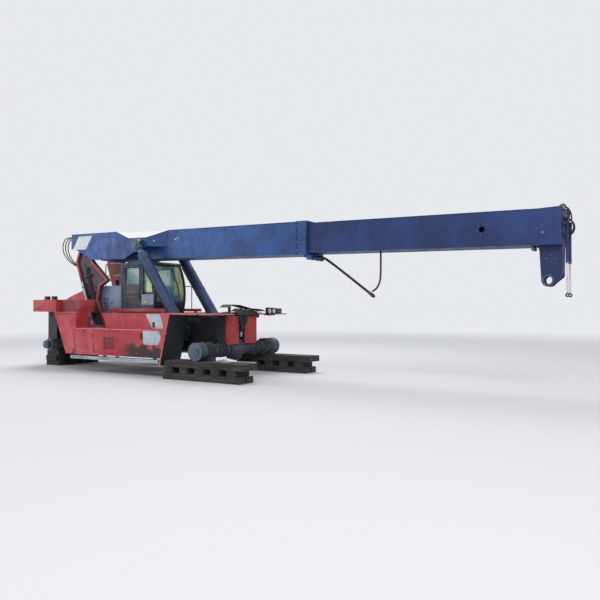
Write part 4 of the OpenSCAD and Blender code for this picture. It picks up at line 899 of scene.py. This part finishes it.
# Side boxes, lockers and step rails
BOX_FACE = 1.73
UPPER_FACE = 1.60
RECESS_FACE = 1.55
BOX_TOP = 1.645
for word, side in SIDES:
    y, up, out = side * BOX_FACE, side * UPPER_FACE, (0, side, 0)
    boxes = Piece("side_box_trim_" + word, "root", RED, BLACK_PAINT, PALE, STEEL, RED_DARK, FENDER_RED,
                  RECESS_SHADE_RED, EDGE_HIGHLIGHT_RED)
    # seams, edge strips, and the lip of the ledge painted pale as a highlight
    boxes.panel(y, side * 0.003, ((-4.475, 1.215), (-4.455, 1.215), (-4.32, 0.51), (-4.34, 0.51)), RED_DARK)
    boxes.strips(y, side, ((-4.34, -0.96, 1.198, 1.22, 0.008, EDGE_HIGHLIGHT_RED),
                           (-4.74, -1.13, 0.50, 0.524, 0.006, RED)))
    boxes.strips(up, side, ((-2.055, -2.045, 1.25, 1.62, 0.004, RED_DARK),
                            (-3.39, -0.86, 1.618, BOX_TOP, 0.008, RED)))
    # the pillar's pale rear edge, the recessed panel above it in a darker red as painted shade, and the
    # shadow line between them
    boxes.panel(y, side * 0.004, ((-4.755, 0.52), (-5.262, 1.62), (-5.20, 1.62), (-4.70, 0.52)), FENDER_RED)
    boxes.panel(side * RECESS_FACE, side * 0.004, rect(-5.23, -4.43, 1.69, 2.01), RECESS_SHADE_RED)
    boxes.panel(y, side * 0.003, ((-5.20, 1.60), (-4.36, 1.60), (-4.36, 1.625), (-5.21, 1.625)), RED_DARK)
    # pale stripes: the lower one has a curved front edge
    boxes.panel(up, side * 0.0025, ((-1.75, 1.615), (-1.25, 1.615), (-1.12, 1.25), (-1.53, 1.25)), PALE)
    curve = [(-1.19 + 0.10 * math.sin(math.pi * t) - 0.02 * t, 1.19 - 0.36 * t) for t in spread(0, 1, 8)]
    boxes.panel(y, side * 0.0025, [(-1.70, 0.83), (-1.72, 1.19)] + curve, PALE)
    # handles and bolts
    boxes.strips(up, side, [(-1.50, -1.43, 1.27, 1.41, 0.02, BLACK_PAINT)])
    boxes.strips(y, side, [(-1.81, -1.75, 0.96, 1.12, 0.02, BLACK_PAINT)])
    for x in (-2.4, -2.3, -1.95):
        for z in (0.60, 1.12):
            boxes.bolt(at(x, y, z), out, 0.022, STEEL)
    for x in (-3.1, -2.95, -2.15, -1.95):
        boxes.bolt(at(x, up, 1.58), out, 0.02, STEEL)
    # a fuel cap and non-slip treads on top
    boxes.cap(at(-3.3, side * 1.45, BOX_TOP), (0, 0, 1), 0.06, 0.03, BLACK_PAINT, 24, (0.04, 0.05))
    for x in spread(-2.9, -2.13, 11):
        boxes.box(at(x, side * 1.12, BOX_TOP), at(x + 0.03, side * 1.52, BOX_TOP + 0.004), BLACK_PAINT)
    boxes.done()

    locker = Piece("locker_trim_" + word, "locker_door_" + word, RED, BLACK_PAINT)
    locker.panel(y, side * 0.004, rect(-3.19, -2.80, 0.68, 1.0), BLACK_PAINT)
    locker.slats(y + side * 0.004, side, -3.17, -2.82, 0.70, 0.033, 9, 0.014, 0.010, RED)
    uprights = [(x - 0.008, x + 0.008, 0.68, 1.0, 0.014, RED) for x in (-3.19, -3.0, -2.80)]
    locker.strips(y + side * 0.002, side, uprights)
    locker.strips(y, side, [(-3.55, -2.67, 1.09, 1.11, 0.004, RED)])
    locker.done()

    rail = Piece("step_rail_trim_" + word, "root", STEEL, BLACK_PAINT)
    for x0, x1 in ((-4.56, -3.06), (-3.04, -1.19)):
        for x in [x0 + 0.07 + i * 0.085 for i in range(int((x1 - x0 - 0.1) / 0.085))]:
            rail.box(at(x, side * 1.60, 0.46), at(x + 0.045, side * 1.70, 0.4615), BLACK_PAINT)
        for x in (x0 + 0.12, x1 - 0.12):
            rail.bolt(at(x, y, 0.415), out, 0.024)
    rail.done()

# The cab: its curved front is part of a circle in side view
CAB_SIDE = 0.64
CAB_BACK = -3.74
SCREEN_X, SCREEN_Z, SCREEN_R = -4.214, 2.176, 1.806
SCREEN_HALF = 0.58
SCREEN_LOW = 1.56
ROOF_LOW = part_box("cab_roof")[0][2]
ROOF_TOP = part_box("cab_roof")[1][2]
WINDOW_LOW = 2.21
PANEL_LOW, PANEL_HIGH = 1.87, 2.16
WINDOW_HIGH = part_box("cab_glass")[1][2]


def screen(out, heights):
    """(forward, up) pairs along the cab's curved front, or out in front of it."""
    return [(SCREEN_X + math.sqrt((SCREEN_R + out) ** 2 - (z - SCREEN_Z) ** 2), z) for z in heights]


cab = Piece("cab_trim", "root", GASKET, BLACK_PAINT, PANEL_GREY, WHITE, CAB, STEEL, DUSTY_REFLECTION_PANE)
for side in (-1, 1):
    rise = spread(SCREEN_LOW, WINDOW_HIGH, 16)
    cab.panel(side * SCREEN_HALF, -side * 0.028, screen(-0.012, rise) + screen(0.01, rise[::-1]))
    # the side window's seal, its dusty front part painted pale yellow-green as a reflection, and the grey
    # panel below it with its handle
    face = side * CAB_SIDE
    top = WINDOW_HIGH - 0.01
    window = screen(-0.07, spread(WINDOW_LOW, top, 10)[::-1])
    outline = at_y(face, [(-2.85, WINDOW_LOW), (-2.85, top)] + window)
    cab.tube(outline + outline[:1], 0.011, GASKET, 8, 1)
    cab.panel(face, side * 0.003, [(-2.71, WINDOW_LOW), (-2.71, top)] + window, DUSTY_REFLECTION_PANE)
    panel = screen(-0.02, spread(PANEL_LOW, PANEL_HIGH, 6)[::-1])
    cab.panel(face, side * 0.006, [(-2.90, PANEL_LOW), (-2.90, PANEL_HIGH)] + panel, PANEL_GREY)
    cab.strips(face + side * 0.006, side, [(-2.79, -2.68, 1.935, 1.965, 0.022, WHITE)])
    cab.strips(face, side, [(CAB_BACK, -2.66, ROOF_LOW - 0.03, ROOF_LOW - 0.005, 0.012, CAB),
                            (-3.70, -3.688, 1.55, 3.0, 0.005, CAB), (-3.66, -3.648, 1.55, 3.0, 0.005, CAB)])
    for z in (1.62, 1.74):
        cab.bolts(at(-2.75, face, z), (0, side, 0), 0.05, 4, 0.014, STEEL)
for x, z in screen(0, (SCREEN_LOW, WINDOW_HIGH)):
    cab.box(at(x - 0.02, -SCREEN_HALF, z - 0.012), at(x + 0.008, SCREEN_HALF, z + 0.012))
# the pale edge of the roof, the wiper and its motor box
cab.box(at(-2.636, -0.15, ROOF_LOW + 0.012), at(-2.628, 0.6, ROOF_TOP - 0.012), PANEL_GREY)
for y, lean, z0, z1, off, radius, sides in ((0.46, 0.24, 1.62, 2.62, 0.022, 0.009, 8),
                                            (0.37, 0.18, 2.02, 2.92, 0.012, 0.010, 6)):
    wiper = [at(x, y - lean * (z - z0), z) for x, z in screen(off, spread(z0, z1, 8))]
    cab.tube(wiper, radius, BLACK_PAINT, sides, 2)
(near, _), (off, _) = screen(0, (1.6,)) + screen(0.035, (1.6,))
cab.box(at(near - 0.01, 0.40, 1.575), at(off, 0.52, 1.65), BLACK_PAINT)
# the seals of the rear window
for y in (-0.54, 0.54):
    cab.box(at(CAB_BACK - 0.008, y - 0.014, 2.10), at(CAB_BACK, y + 0.014, WINDOW_HIGH))
for z in (2.10, WINDOW_HIGH):
    cab.box(at(CAB_BACK - 0.008, -0.55, z - 0.014), at(CAB_BACK, 0.55, z + 0.014))
# a grab rail beside the left front corner
cab.tube([at(screen(-0.03, (2.41,))[0][0], 0.63, 2.41), at(-2.30, 0.665, 2.415), at(-2.225, 0.675, 2.40),
          at(-2.21, 0.675, 2.30), at(-2.205, 0.672, 1.76)], 0.013, BLACK_PAINT)
cab.done()

# Inside the cab
inside = Piece("cab_inside", "root", PLASTIC, GASKET, STEEL)
inside.panel(-0.56, 1.12, ((-2.62, 1.50), (-2.555, 1.50), (-2.49, 1.75), (-2.475, 1.98), (-2.52, 2.02),
                           (-2.60, 2.00), (-2.62, 1.90)))
inside.box(at(-2.57, -0.12, 2.015), at(-2.50, 0.20, 2.10), GASKET)
for side in (-1, 1):
    y = side * 0.345
    inside.box(at(-3.52, y - 0.055, 1.95), at(-3.10, y + 0.055, 2.06))
    inside.rod(at(-3.30, y, 1.49), at(-3.30, y, 1.96), 0.03, STEEL)
    inside.rod(at(-3.18, y, 2.06), at(-3.165, y, 2.16), 0.012, GASKET)
    inside.lathe(at(-3.165, y, 2.15), (0.1, 0, 1), [(0, 0.0), (0.01, 0.022), (0.05, 0.026), (0.08, 0.018),
                                                    (0.085, 0)], GASKET, 14)
inside.done()


def cushion(name, low, high):
    """A closed upholstered form between two corners, with rounded edges, a crown and two sewn grooves."""
    round_off, crown, seam_at = 0.045, 0.018, (-0.62, 0.62)
    groove_deep, groove_wide = 0.012, 0.05
    centre, half = (low + high) / 2, (high - low) / 2
    mesh = bmesh.new()
    bmesh.ops.create_cube(mesh, size=2)
    bmesh.ops.subdivide_edges(mesh, edges=mesh.edges, cuts=17, use_grid_fill=True)
    thin = min(range(3), key=lambda i: half[i])
    wide = [i for i in range(3) if i != thin]
    for v in mesh.verts:
        share = v.co.copy()
        p = Vector([share[i] * (half[i] - crown * (i == thin)) for i in range(3)])
        core = Vector([max(-(half[i] - round_off), min(half[i] - round_off, p[i])) for i in range(3)])
        if (p - core).length > 1e-6:
            p = core + (p - core).normalized() * min(round_off, (p - core).length)
        puff = crown * (1 - share[wide[0]] ** 2) * (1 - share[wide[1]] ** 2)
        groove = sum(groove_deep * math.exp(-((share[1] - y) / groove_wide) ** 2) for y in seam_at)
        if abs(share[thin]) > 0.9:
            p[thin] += (puff - groove) * (1 if share[thin] > 0 else -1)
        v.co = centre + p
    data = bpy.data.meshes.new(name)
    mesh.to_mesh(data)
    mesh.free()
    data.materials.append(SEAT)
    data.shade_smooth()
    made = shown(name, data)
    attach(made, "root")


SEAT_FLOOR = 1.49
cushion("seat_cushion", at(-3.55, -0.25, SEAT_FLOOR + 0.32), at(-3.05, 0.25, SEAT_FLOOR + 0.445))
cushion("seat_backrest", at(-3.625, -0.245, SEAT_FLOOR + 0.44), at(-3.50, 0.245, SEAT_FLOOR + 1.10))
base = Piece("seat_base", "root", PLASTIC, STEEL)
base.box(at(-3.52, -0.22, SEAT_FLOOR + 0.28), at(-3.08, 0.22, SEAT_FLOOR + 0.325))
base.box(at(-3.47, -0.18, SEAT_FLOOR), at(-3.15, 0.18, SEAT_FLOOR + 0.05))
for i in range(6):
    z, inset = SEAT_FLOOR + 0.05 + i * 0.039, 0.008 * (i % 2)
    base.box(at(-3.45 + inset, -0.16, z), at(-3.17 - inset, 0.16, z + 0.039))
base.box(at(-3.60, -0.03, SEAT_FLOOR + 0.36), at(-3.56, 0.03, SEAT_FLOOR + 0.6), STEEL)
base_made = base.done(0.004)
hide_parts("seat")

# Doors: seals round the glass, handles, and a dark pane over the lower half as painted shade
for word, side in SIDES:
    (x0, _, z0), (x1, _, z1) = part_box("door_glass_" + word)
    x0, x1, face = x0 - DRIVE_X, x1 - DRIVE_X, side * CAB_SIDE
    door = Piece("cab_door_trim_" + word, "cab_door_" + word, GASKET, BLACK_PAINT, SHADE_PANE, STEEL)
    door.strips(face, side, ((x0 - 0.016, x0 + 0.012, z0, z1, 0.006, GASKET),
                             (x1 - 0.012, x1 + 0.016, z0, z1, 0.006, GASKET),
                             (x0 - 0.016, x1 + 0.016, z0 - 0.016, z0 + 0.012, 0.006, GASKET),
                             (x0 - 0.016, x1 + 0.016, z1 - 0.012, z1 + 0.016, 0.006, GASKET),
                             (-2.99, -2.945, 2.00, 2.13, 0.012, BLACK_PAINT),
                             (-3.56, -2.98, 1.84, 2.455, 0.004, SHADE_PANE)))
    door.strips(face + side * 0.012, side, [(-3.06, -2.955, 2.075, 2.10, 0.018, BLACK_PAINT)])
    pull = ((0, 2.05), (0.04, 2.05), (0.04, 1.90), (0, 1.90))
    door.tube(at_x(-3.50, [(face + side * off, z) for off, z in pull]), 0.010, STEEL, 8, 4)
    door.done()

# Pale handrails on the grey box behind the cab, and the box's own trim
REAR_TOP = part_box("rear_box")[1][2]
REAR_SIDE = 0.5
POSTS = (-4.62, -3.90)
rail = Piece("rear_handrail", "root", RAIL, STEEL)
for y in (-0.44, 0.44):
    rail.tube(at_y(y, ((-4.62, REAR_TOP), (-4.62, 2.98), (-4.58, 3.08), (-4.40, 3.10), (-4.05, 3.10),
                       (-3.93, 3.06), (-3.90, 2.95), (-3.90, REAR_TOP))), 0.016)
    rail.rod(*[at(x, y, 2.74) for x in POSTS], 0.012, RAIL, 10)
    for x in POSTS:
        foot = [(0, 0.0), (0, 0.035), (0.008, 0.035), (0.008, 0.016)]
        rail.lathe(at(x, y, REAR_TOP), (0, 0, 1), foot, STEEL, 16)
rail.done()
grey = Piece("rear_box_trim", "root", GREY, BLACK_PAINT, STEEL)
for side in (-1, 1):
    y = side * REAR_SIDE
    for x in (-4.70, -4.28, -3.84):
        grey.strips(y, side, [(x - 0.008, x + 0.008, 1.25, REAR_TOP - 0.03, 0.004, GREY)])
    grey.panel(y, side * 0.004, rect(-4.66, -4.36, 1.5, 2.2))
    grey.slats(y + side * 0.004, side, -4.62, -4.40, 1.60, 0.05, 10, 0.022, 0.008, BLACK_PAINT)
    grey.strips(y, side, [(-4.30, -4.26, 1.9, 1.98, 0.02, STEEL)])
grey.box(at(-4.735, -0.49, REAR_TOP), at(-3.805, 0.49, REAR_TOP + 0.006))
grey.done()

# The front: plates, and the hoses between them
NOSE_X = 0.16
front = Piece("front_trim", "root", CHASSIS_RED, RUBBER, STEEL, RAIL)
for side in (-1, 1):
    for y, z in ((0.19, 1.50), (0.60, 1.50), (0.19, 1.20), (0.42, 1.52)):
        front.bolt(at(NOSE_X, side * y, z), (1, 0, 0), 0.034, STEEL)
    front.ring(at(NOSE_X, side * 0.59, 0.95), (1, 0, 0), 0.021, 0.036, 0.006)
    front.plate(at_x(NOSE_X, [(side * y, z) for y, z in rect(0.15, 0.64, 1.53, 1.556)]), (0.008, 0, 0))
for i, y in enumerate((-0.10, -0.055, -0.012, 0.035, 0.08, 0.11)):
    bend = 0.02 * math.sin(1.7 * i)
    front.tube([at(0.05 + 0.01 * (i % 3), y, 1.565), at(0.085 + 0.012 * (i % 3), y + bend, 1.42),
                at(0.09, 0.6 * y + bend, 1.25), at(0.05, 0.5 * y, 1.10), at(-0.05, 0.5 * y, 0.985)],
               0.017 + 0.002 * (i % 2), RUBBER, 8)
front.lathe(at(0.125, -0.015, 1.02), (0.06, 0.05, 1),
            [(0, 0.0), (0, 0.03), (0.05, 0.03), (0.05, 0.042), (0.12, 0.042), (0.12, 0.03), (0.2, 0.026),
             (0.2, 0)], RAIL, 16)
for y, low_y, low_z in ((-0.15, -0.03, 1.21), (-0.07, 0.0, 1.16), (0.03, 0.03, 1.24), (0.12, 0.05, 1.19),
                        (0.16, 0.04, 1.30)):
    front.tube([at(0.19, y, 1.60), at(0.205, y * 0.95, 1.50), at(0.20, y * 0.7 + low_y * 0.3, 1.38),
                at(0.17, low_y, low_z), at(0.11, low_y, low_z - 0.10)], 0.021, RUBBER, 8)
front.rod(at(0.06, -0.14, 1.10), at(0.06, 0.14, 1.10), 0.02, STEEL)
front.done()

# Loose sheets over the front
sheets = Piece("front_sheet_trim", "root", BLACK_PAINT, STEEL)
for x in (-0.155, 0.155):
    for y, z in ((-0.42, 1.845), (0.30, 1.788), (0.95, 1.728)):
        sheets.bolt(at(x, y, z), (0, 0, 1), 0.022, STEEL)
sheets.folded(-0.14, ((-0.10, 1.655), (0.20, 1.70), (0.48, 1.695), (0.86, 1.665)), 0.01, 0.33)
sheets.folded(0.04, ((-0.34, 1.70), (-0.16, 1.765), (0.06, 1.71), (0.26, 1.745), (0.50, 1.69),
                     (0.66, 1.61)), 0.012, 0.20)
sheets.plate(at_x(0.215, ((-0.30, 1.60), (-0.28, 1.70), (-0.10, 1.74), (0.10, 1.70), (0.30, 1.72),
                          (0.55, 1.66), (0.60, 1.59))), (0.012, 0, 0))
for y in (-0.45, 0.45):
    sheets.box(at(-0.12, y - 0.04, 1.65), at(0.08, y + 0.04, 1.67))
    sheets.bolt(at(-0.02, y, 1.67), (0, 0, 1), 0.03, STEEL)
sheets.done()

LAMP_X = 0.43
lamps = Piece("front_lamps", "root", BLACK_PAINT, LAMP_GLASS, AMBER, STEEL, RUBBER)
for y0, y1, low, high in ((0.69, 0.865, 1.60, 1.79), (0.895, 1.065, 1.61, 1.785)):
    middle_y, middle_z = (y0 + y1) / 2, (low + high) / 2
    lamps.box(at(LAMP_X, y0, low), at(LAMP_X + 0.07, y1, high))
    lamps.box(at(LAMP_X + 0.07, y0 + 0.012, low + 0.012),
              at(LAMP_X + 0.078, y1 - 0.012, high - 0.012), RUBBER)
    lamps.lathe(at(LAMP_X + 0.078, middle_y, middle_z), (1, 0, 0),
                [(0, 0.066), (0.008, 0.064), (0.014, 0.045), (0.016, 0)], LAMP_GLASS, 24)
    lamps.box(at(LAMP_X - 0.02, middle_y - 0.02, high - 0.14),
              at(LAMP_X, middle_y + 0.02, high - 0.06), STEEL)
lamps.box(at(LAMP_X, 0.79, 1.565), at(LAMP_X + 0.06, 0.91, 1.597), AMBER)
lamps.box(at(LAMP_X - 0.03, 0.68, 1.575), at(LAMP_X + 0.002, 1.15, 1.60))
lamps.tube([at(0.42, 1.07, 1.70), at(0.43, 1.19, 1.69), at(0.43, 1.29, 1.655), at(0.41, 1.39, 1.64)],
           0.012, RUBBER, 8)
lamps.rod(at(0.40, 1.21, 1.65), at(0.44, 1.39, 1.69), 0.012, STEEL)
lamps.done()

# Fenders: edges painted pale as highlights, and bolts
FENDER_FRONT = 0.42
fender = Piece("fender_trim", "root", EDGE_HIGHLIGHT_RED, STEEL)
for side in (-1, 1):
    y = side * BOX_FACE
    for edge in (((-0.845, 1.638), (-1.165, 0.312), (-1.125, 0.312), (-0.80, 1.61)),
                 ((-0.845, 1.640), (FENDER_FRONT, 1.626), (FENDER_FRONT, 1.604), (-0.80, 1.612))):
        fender.panel(y, side * 0.006, edge)
    fender.box(at(-1.165, side * 1.67, 0.30), at(-1.12, y, 0.345))
    fender.box(at(FENDER_FRONT, side * 0.67, 1.60), at(FENDER_FRONT + 0.006, y, 1.624))
    for x in (-0.6, -0.1, 0.3):
        fender.bolt(at(x, side * 1.66, 1.640 - 0.0112 * (x + 0.83)), (0, 0, 1), 0.026, STEEL)
fender.done()

# The drive axle, and the hubs and knuckles
FORWARD = (1, 0, 0)


def on_axle(x, y, up=0.0):
    """A place forward of the drive axle and above its middle line."""
    return at(x, y, AXLE_Z + up)


axle = Piece("axle_trim", "root", AXLE, STEEL, RUBBER, HUB)
axle.ring(on_axle(-0.05, 0), FORWARD, 0.27, 0.318, 0.03, AXLE, 48)
axle.bolts(on_axle(-0.02, 0), FORWARD, 0.302, 16, 0.02, STEEL)
axle.ring(on_axle(-0.445, 0), FORWARD, 0.0, 0.11, 0.03, HUB, 24)
axle.bolts(on_axle(-0.445, 0), (-1, 0, 0), 0.085, 8, 0.018, STEEL)
axle.cap(on_axle(0.10, 0, 0.1), (1, 0, 0.6), 0.03, 0.09, STEEL, 8)
for side in (-1, 1):
    out = (0, side, 0)
    for y in (0.42, 0.86):
        axle.ring(on_axle(0, side * y), out, 0.149, 0.18, 0.025, AXLE, 40)
        axle.bolts(on_axle(0, side * (y + 0.025)), out, 0.164, 12, 0.016, STEEL)
    for y, outer in ((1.12, 0.222), (1.20, 0.228), (1.28, 0.228), (0.60, 0.19), (0.70, 0.19)):
        axle.ring(on_axle(0, side * y), out, 0.10, outer, 0.035, AXLE, 44)
    # brake ports, and the pipe from the differential to the drum
    for angle in (0.5, 2.1):
        place = on_axle(0.21 * math.cos(angle), side * 1.25, 0.205 * math.sin(angle))
        axle.lathe(place, (math.cos(angle), 0, math.sin(angle)),
                   [(-0.02, 0.022), (0.03, 0.022), (0.03, 0.014), (0.06, 0.014), (0.06, 0)], STEEL, 10)
    brake_pipe = ((0.205, 1.25, 0.12), (0.24, 1.05, 0.13), (0.17, 0.8, 0.14), (0.13, 0.5, 0.17),
                  (0.14, 0.2, 0.22), (0.06, 0.08, 0.235))
    axle.tube([on_axle(x, side * y, z) for x, y, z in brake_pipe], 0.011, RUBBER, 8, 6)
    axle.box(at(-0.14, side * 0.46, 0.935), at(0.115, side * 0.64, 0.955))
axle.done()

HUB_FACE = 1.685
REAR_X = -6.0
KNUCKLE_Y = 1.15
for word, side in SIDES:
    out = (0, side, 0)
    hub = Piece("front_hub_trim_" + word, "front_hub_" + word, HUB, STEEL, AXLE)
    face = side * HUB_FACE
    hub.ring(on_axle(0, face - side * 0.03), out, 0.2262, 0.2275, 0.012, AXLE, 64)
    hub.ring(on_axle(0, face), out, 0.205, 0.222, 0.004, HUB, 64)
    hub.ring(on_axle(0, face), out, 0.110, 0.150, 0.006, HUB, 48)
    hub.bolts(on_axle(0, face + side * 0.025), out, 0.088, 8, 0.02, STEEL)
    hub.cap(on_axle(0, face + side * 0.025), out, 0.045, 0.010, HUB, 24, (0.014, 0.03))
    hub.cap(on_axle(0.13, face, 0.02), out, 0.018, 0.012, STEEL, 6)
    hub.done()

    rear = Piece("rear_hub_trim_" + word, "rear_hub_" + word, HUB, STEEL)
    rear_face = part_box("hub_rear_" + word)[side > 0][1]
    rear.ring(on_axle(REAR_X, rear_face), out, 0.085, 0.115, 0.008, HUB, 40)
    rear.cap(on_axle(REAR_X, rear_face), out, 0.06, 0.03, HUB, 28, (0.036, 0.05))
    rear.bolts(on_axle(REAR_X, rear_face + side * 0.008), out, 0.1, 8, 0.016, STEEL)
    rear.done()

    knuckle = Piece("knuckle_trim_" + word, "knuckle_" + word, AXLE, STEEL)
    for up in (1, -1):
        end = on_axle(REAR_X, side * KNUCKLE_Y, up * 0.15)
        knuckle.cap(end, (0, 0, up), 0.062, 0.014, AXLE, 28, (0.02, 0.05))
        knuckle.bolts(end, (0, 0, up), 0.08, 6, 0.014, STEEL)
    nipple = on_axle(REAR_X, side * KNUCKLE_Y, 0.17)
    knuckle.lathe(nipple, (0, 0, 1), [(0, 0.01), (0.025, 0.008), (0.03, 0)], STEEL, 8)
    knuckle.done()

# Lines along the chassis beams, and their brackets
lines = Piece("chassis_lines", "root", RUBBER, STEEL)
for side in (-1, 1):
    for z in (0.74, 0.785, 0.83):
        run = at_y(side * 0.664, ((-4.8, z), (-3.4, z), (-2.0, z), (-0.9, z), (-0.55, z + 0.10)))
        lines.tube(run + [at(-0.2, side * 0.66, z + 0.28)], 0.013, RUBBER, 8, 4)
    for x in (-4.5, -3.6, -2.4, -1.75, -1.0):
        lines.box(at(x - 0.02, side * 0.65, 0.715), at(x + 0.02, side * 0.684, 0.86), STEEL)
lines.done()

# What lies on the near timber stack: a board, and a rag of two layers closed along the edges
STACK_TOP = 0.4682
RAG_LOW = STACK_TOP + 0.0003
board = Piece("board_on_stack", "root", BOARD)
board.plate([at(x, y, STACK_TOP) for x, y in ((0.98, -1.31), (1.50, -1.29), (1.50, -1.21), (0.99, -1.22))],
            (0, 0, 0.02))
board.done()
RAG_COUNT = 14
random.seed(5)
rag = Piece("rag_on_stack", "root", RAG)
top, low = [], []
for u in spread(0, 1, RAG_COUNT):
    row = []
    for v in spread(0, 1, RAG_COUNT):
        fold = 0.016 * math.sin(9 * u + 3 * v) + 0.012 * math.sin(5 * v - 7 * u) + 0.006 * random.random()
        crown = math.sin(math.pi * u) * math.sin(math.pi * v)
        row.append(at(0.36 + 0.46 * u + 0.02 * math.sin(6 * v), -1.46 + 0.24 * v + 0.02 * math.sin(5 * u),
                      RAG_LOW + 0.0005 + max(0.0, (0.05 + 1.3 * fold) * crown + 0.002)))
    top.append([rag.mesh.verts.new(q) for q in row])
    low.append([rag.mesh.verts.new((q.x, q.y, RAG_LOW)) for q in row])
for i in range(RAG_COUNT):
    for j in range(RAG_COUNT):
        rag.mesh.faces.new((top[i][j], top[i + 1][j], top[i + 1][j + 1], top[i][j + 1]))
        rag.mesh.faces.new((low[i][j], low[i][j + 1], low[i + 1][j + 1], low[i + 1][j]))
    for side in (0, RAG_COUNT):
        rag.mesh.faces.new((top[i][side], low[i][side], low[i + 1][side], top[i + 1][side]))
        rag.mesh.faces.new((top[side][i + 1], low[side][i + 1], low[side][i], top[side][i]))
rag.done(0, 60)

# Bands and staples on the timbers' ends
iron = Piece("timber_irons", "root", STEEL, BLACK_PAINT)
for y in (-1.625, -1.325, 1.325, 1.625):
    for x, z in ((1.40, 0.078), (1.51, 0.39)):
        iron.box(at(x, y - 0.05, z - 0.004), at(x + 0.003, y + 0.05, z + 0.004))
        iron.box(at(x, y - 0.003, z - 0.04), at(x + 0.003, y + 0.003, z + 0.03), BLACK_PAINT)
iron.done()

# The boom's underside: the rollers' pins and the hose's gland
under = Piece("collar_trim", "outer_boom", STEEL, BLACK_PAINT)
for y in (-0.30, -0.115, 0.115, 0.30):
    for side in (-1, 1):
        under.cap(on_boom(MOUTH_A + 0.02, y + side * 0.04, -0.472), (0, side, 0), 0.024, 0.01, STEEL, 14)
under.collar(on_boom(MOUTH_A + 0.062, 0, -0.4405), ALONG, 0.0305, 0.035, 0.006, BLACK_PAINT, 24)
for y in (-0.038, 0.038):
    under.bolt(on_boom(MOUTH_A + 0.062, y, -0.474), ALONG, 0.012)
under.done()

# Floor: far from the machine it fades into the backdrop
BACKDROP = (0.80, 0.82, 0.85, 1)
FLOOR_HALF = 150
FADE_FROM, FADE_TO = 9, 38
look = Shading("floor")
look.finish((206, 206, 208), 0.9)
away = look.add("ShaderNodeVectorMath", {0: look.coordinates}, operation="LENGTH").outputs["Value"]
fade = look.times(look.band(away, FADE_FROM, FADE_TO), look.seen_directly())
far_floor = look.add("ShaderNodeEmission", {"Color": BACKDROP})
either = look.add("ShaderNodeMixShader", {0: fade, 1: look.shader.outputs[0], 2: far_floor.outputs[0]})
look.put(look.tree.nodes["Material Output"].inputs["Surface"], either.outputs[0])
mesh = bpy.data.meshes.new("floor")
corners = rect(-FLOOR_HALF, FLOOR_HALF, -FLOOR_HALF, FLOOR_HALF)
mesh.from_pydata([(x, y, 0) for x, y in corners], [], [(0, 1, 2, 3)])
mesh.materials.append(look.material)
shown("floor", mesh)

# Light
world = bpy.data.worlds.new("studio")
world.use_nodes = True
bpy.context.scene.world = world
air = Nodes(world.node_tree)
sky = air.tree.nodes["Background"]
air.put(sky.inputs["Color"], (0.92, 0.95, 1.0, 1))
air.put(sky.inputs["Strength"], 0.62)
backdrop = air.add("ShaderNodeBackground", {"Color": BACKDROP, "Strength": 1.0})
either = air.add("ShaderNodeMixShader", {0: air.seen_directly(), 1: sky.outputs[0], 2: backdrop.outputs[0]})
air.put(air.tree.nodes["World Output"].inputs["Surface"], either.outputs[0])

for name, place, target_z, size, power, colour in (
        ("key", (14, -16, 15), 2, 10, 2600, (1.0, 0.97, 0.93)),
        ("top", (-6, 6, 18), 2, 14, 2400, (0.95, 0.97, 1.0)),
        ("fill", (-18, -12, 8), 1.5, 9, 900, (0.92, 0.96, 1.0))):
    light = bpy.data.lights.new(name, "AREA")
    light.shape = "DISK"
    light.size = size
    light.energy = power
    light.color = colour
    aim(shown(name, light), place, Vector((0, 0, target_z)) - Vector(place))
bpy.context.scene.view_settings.view_transform = "Standard"
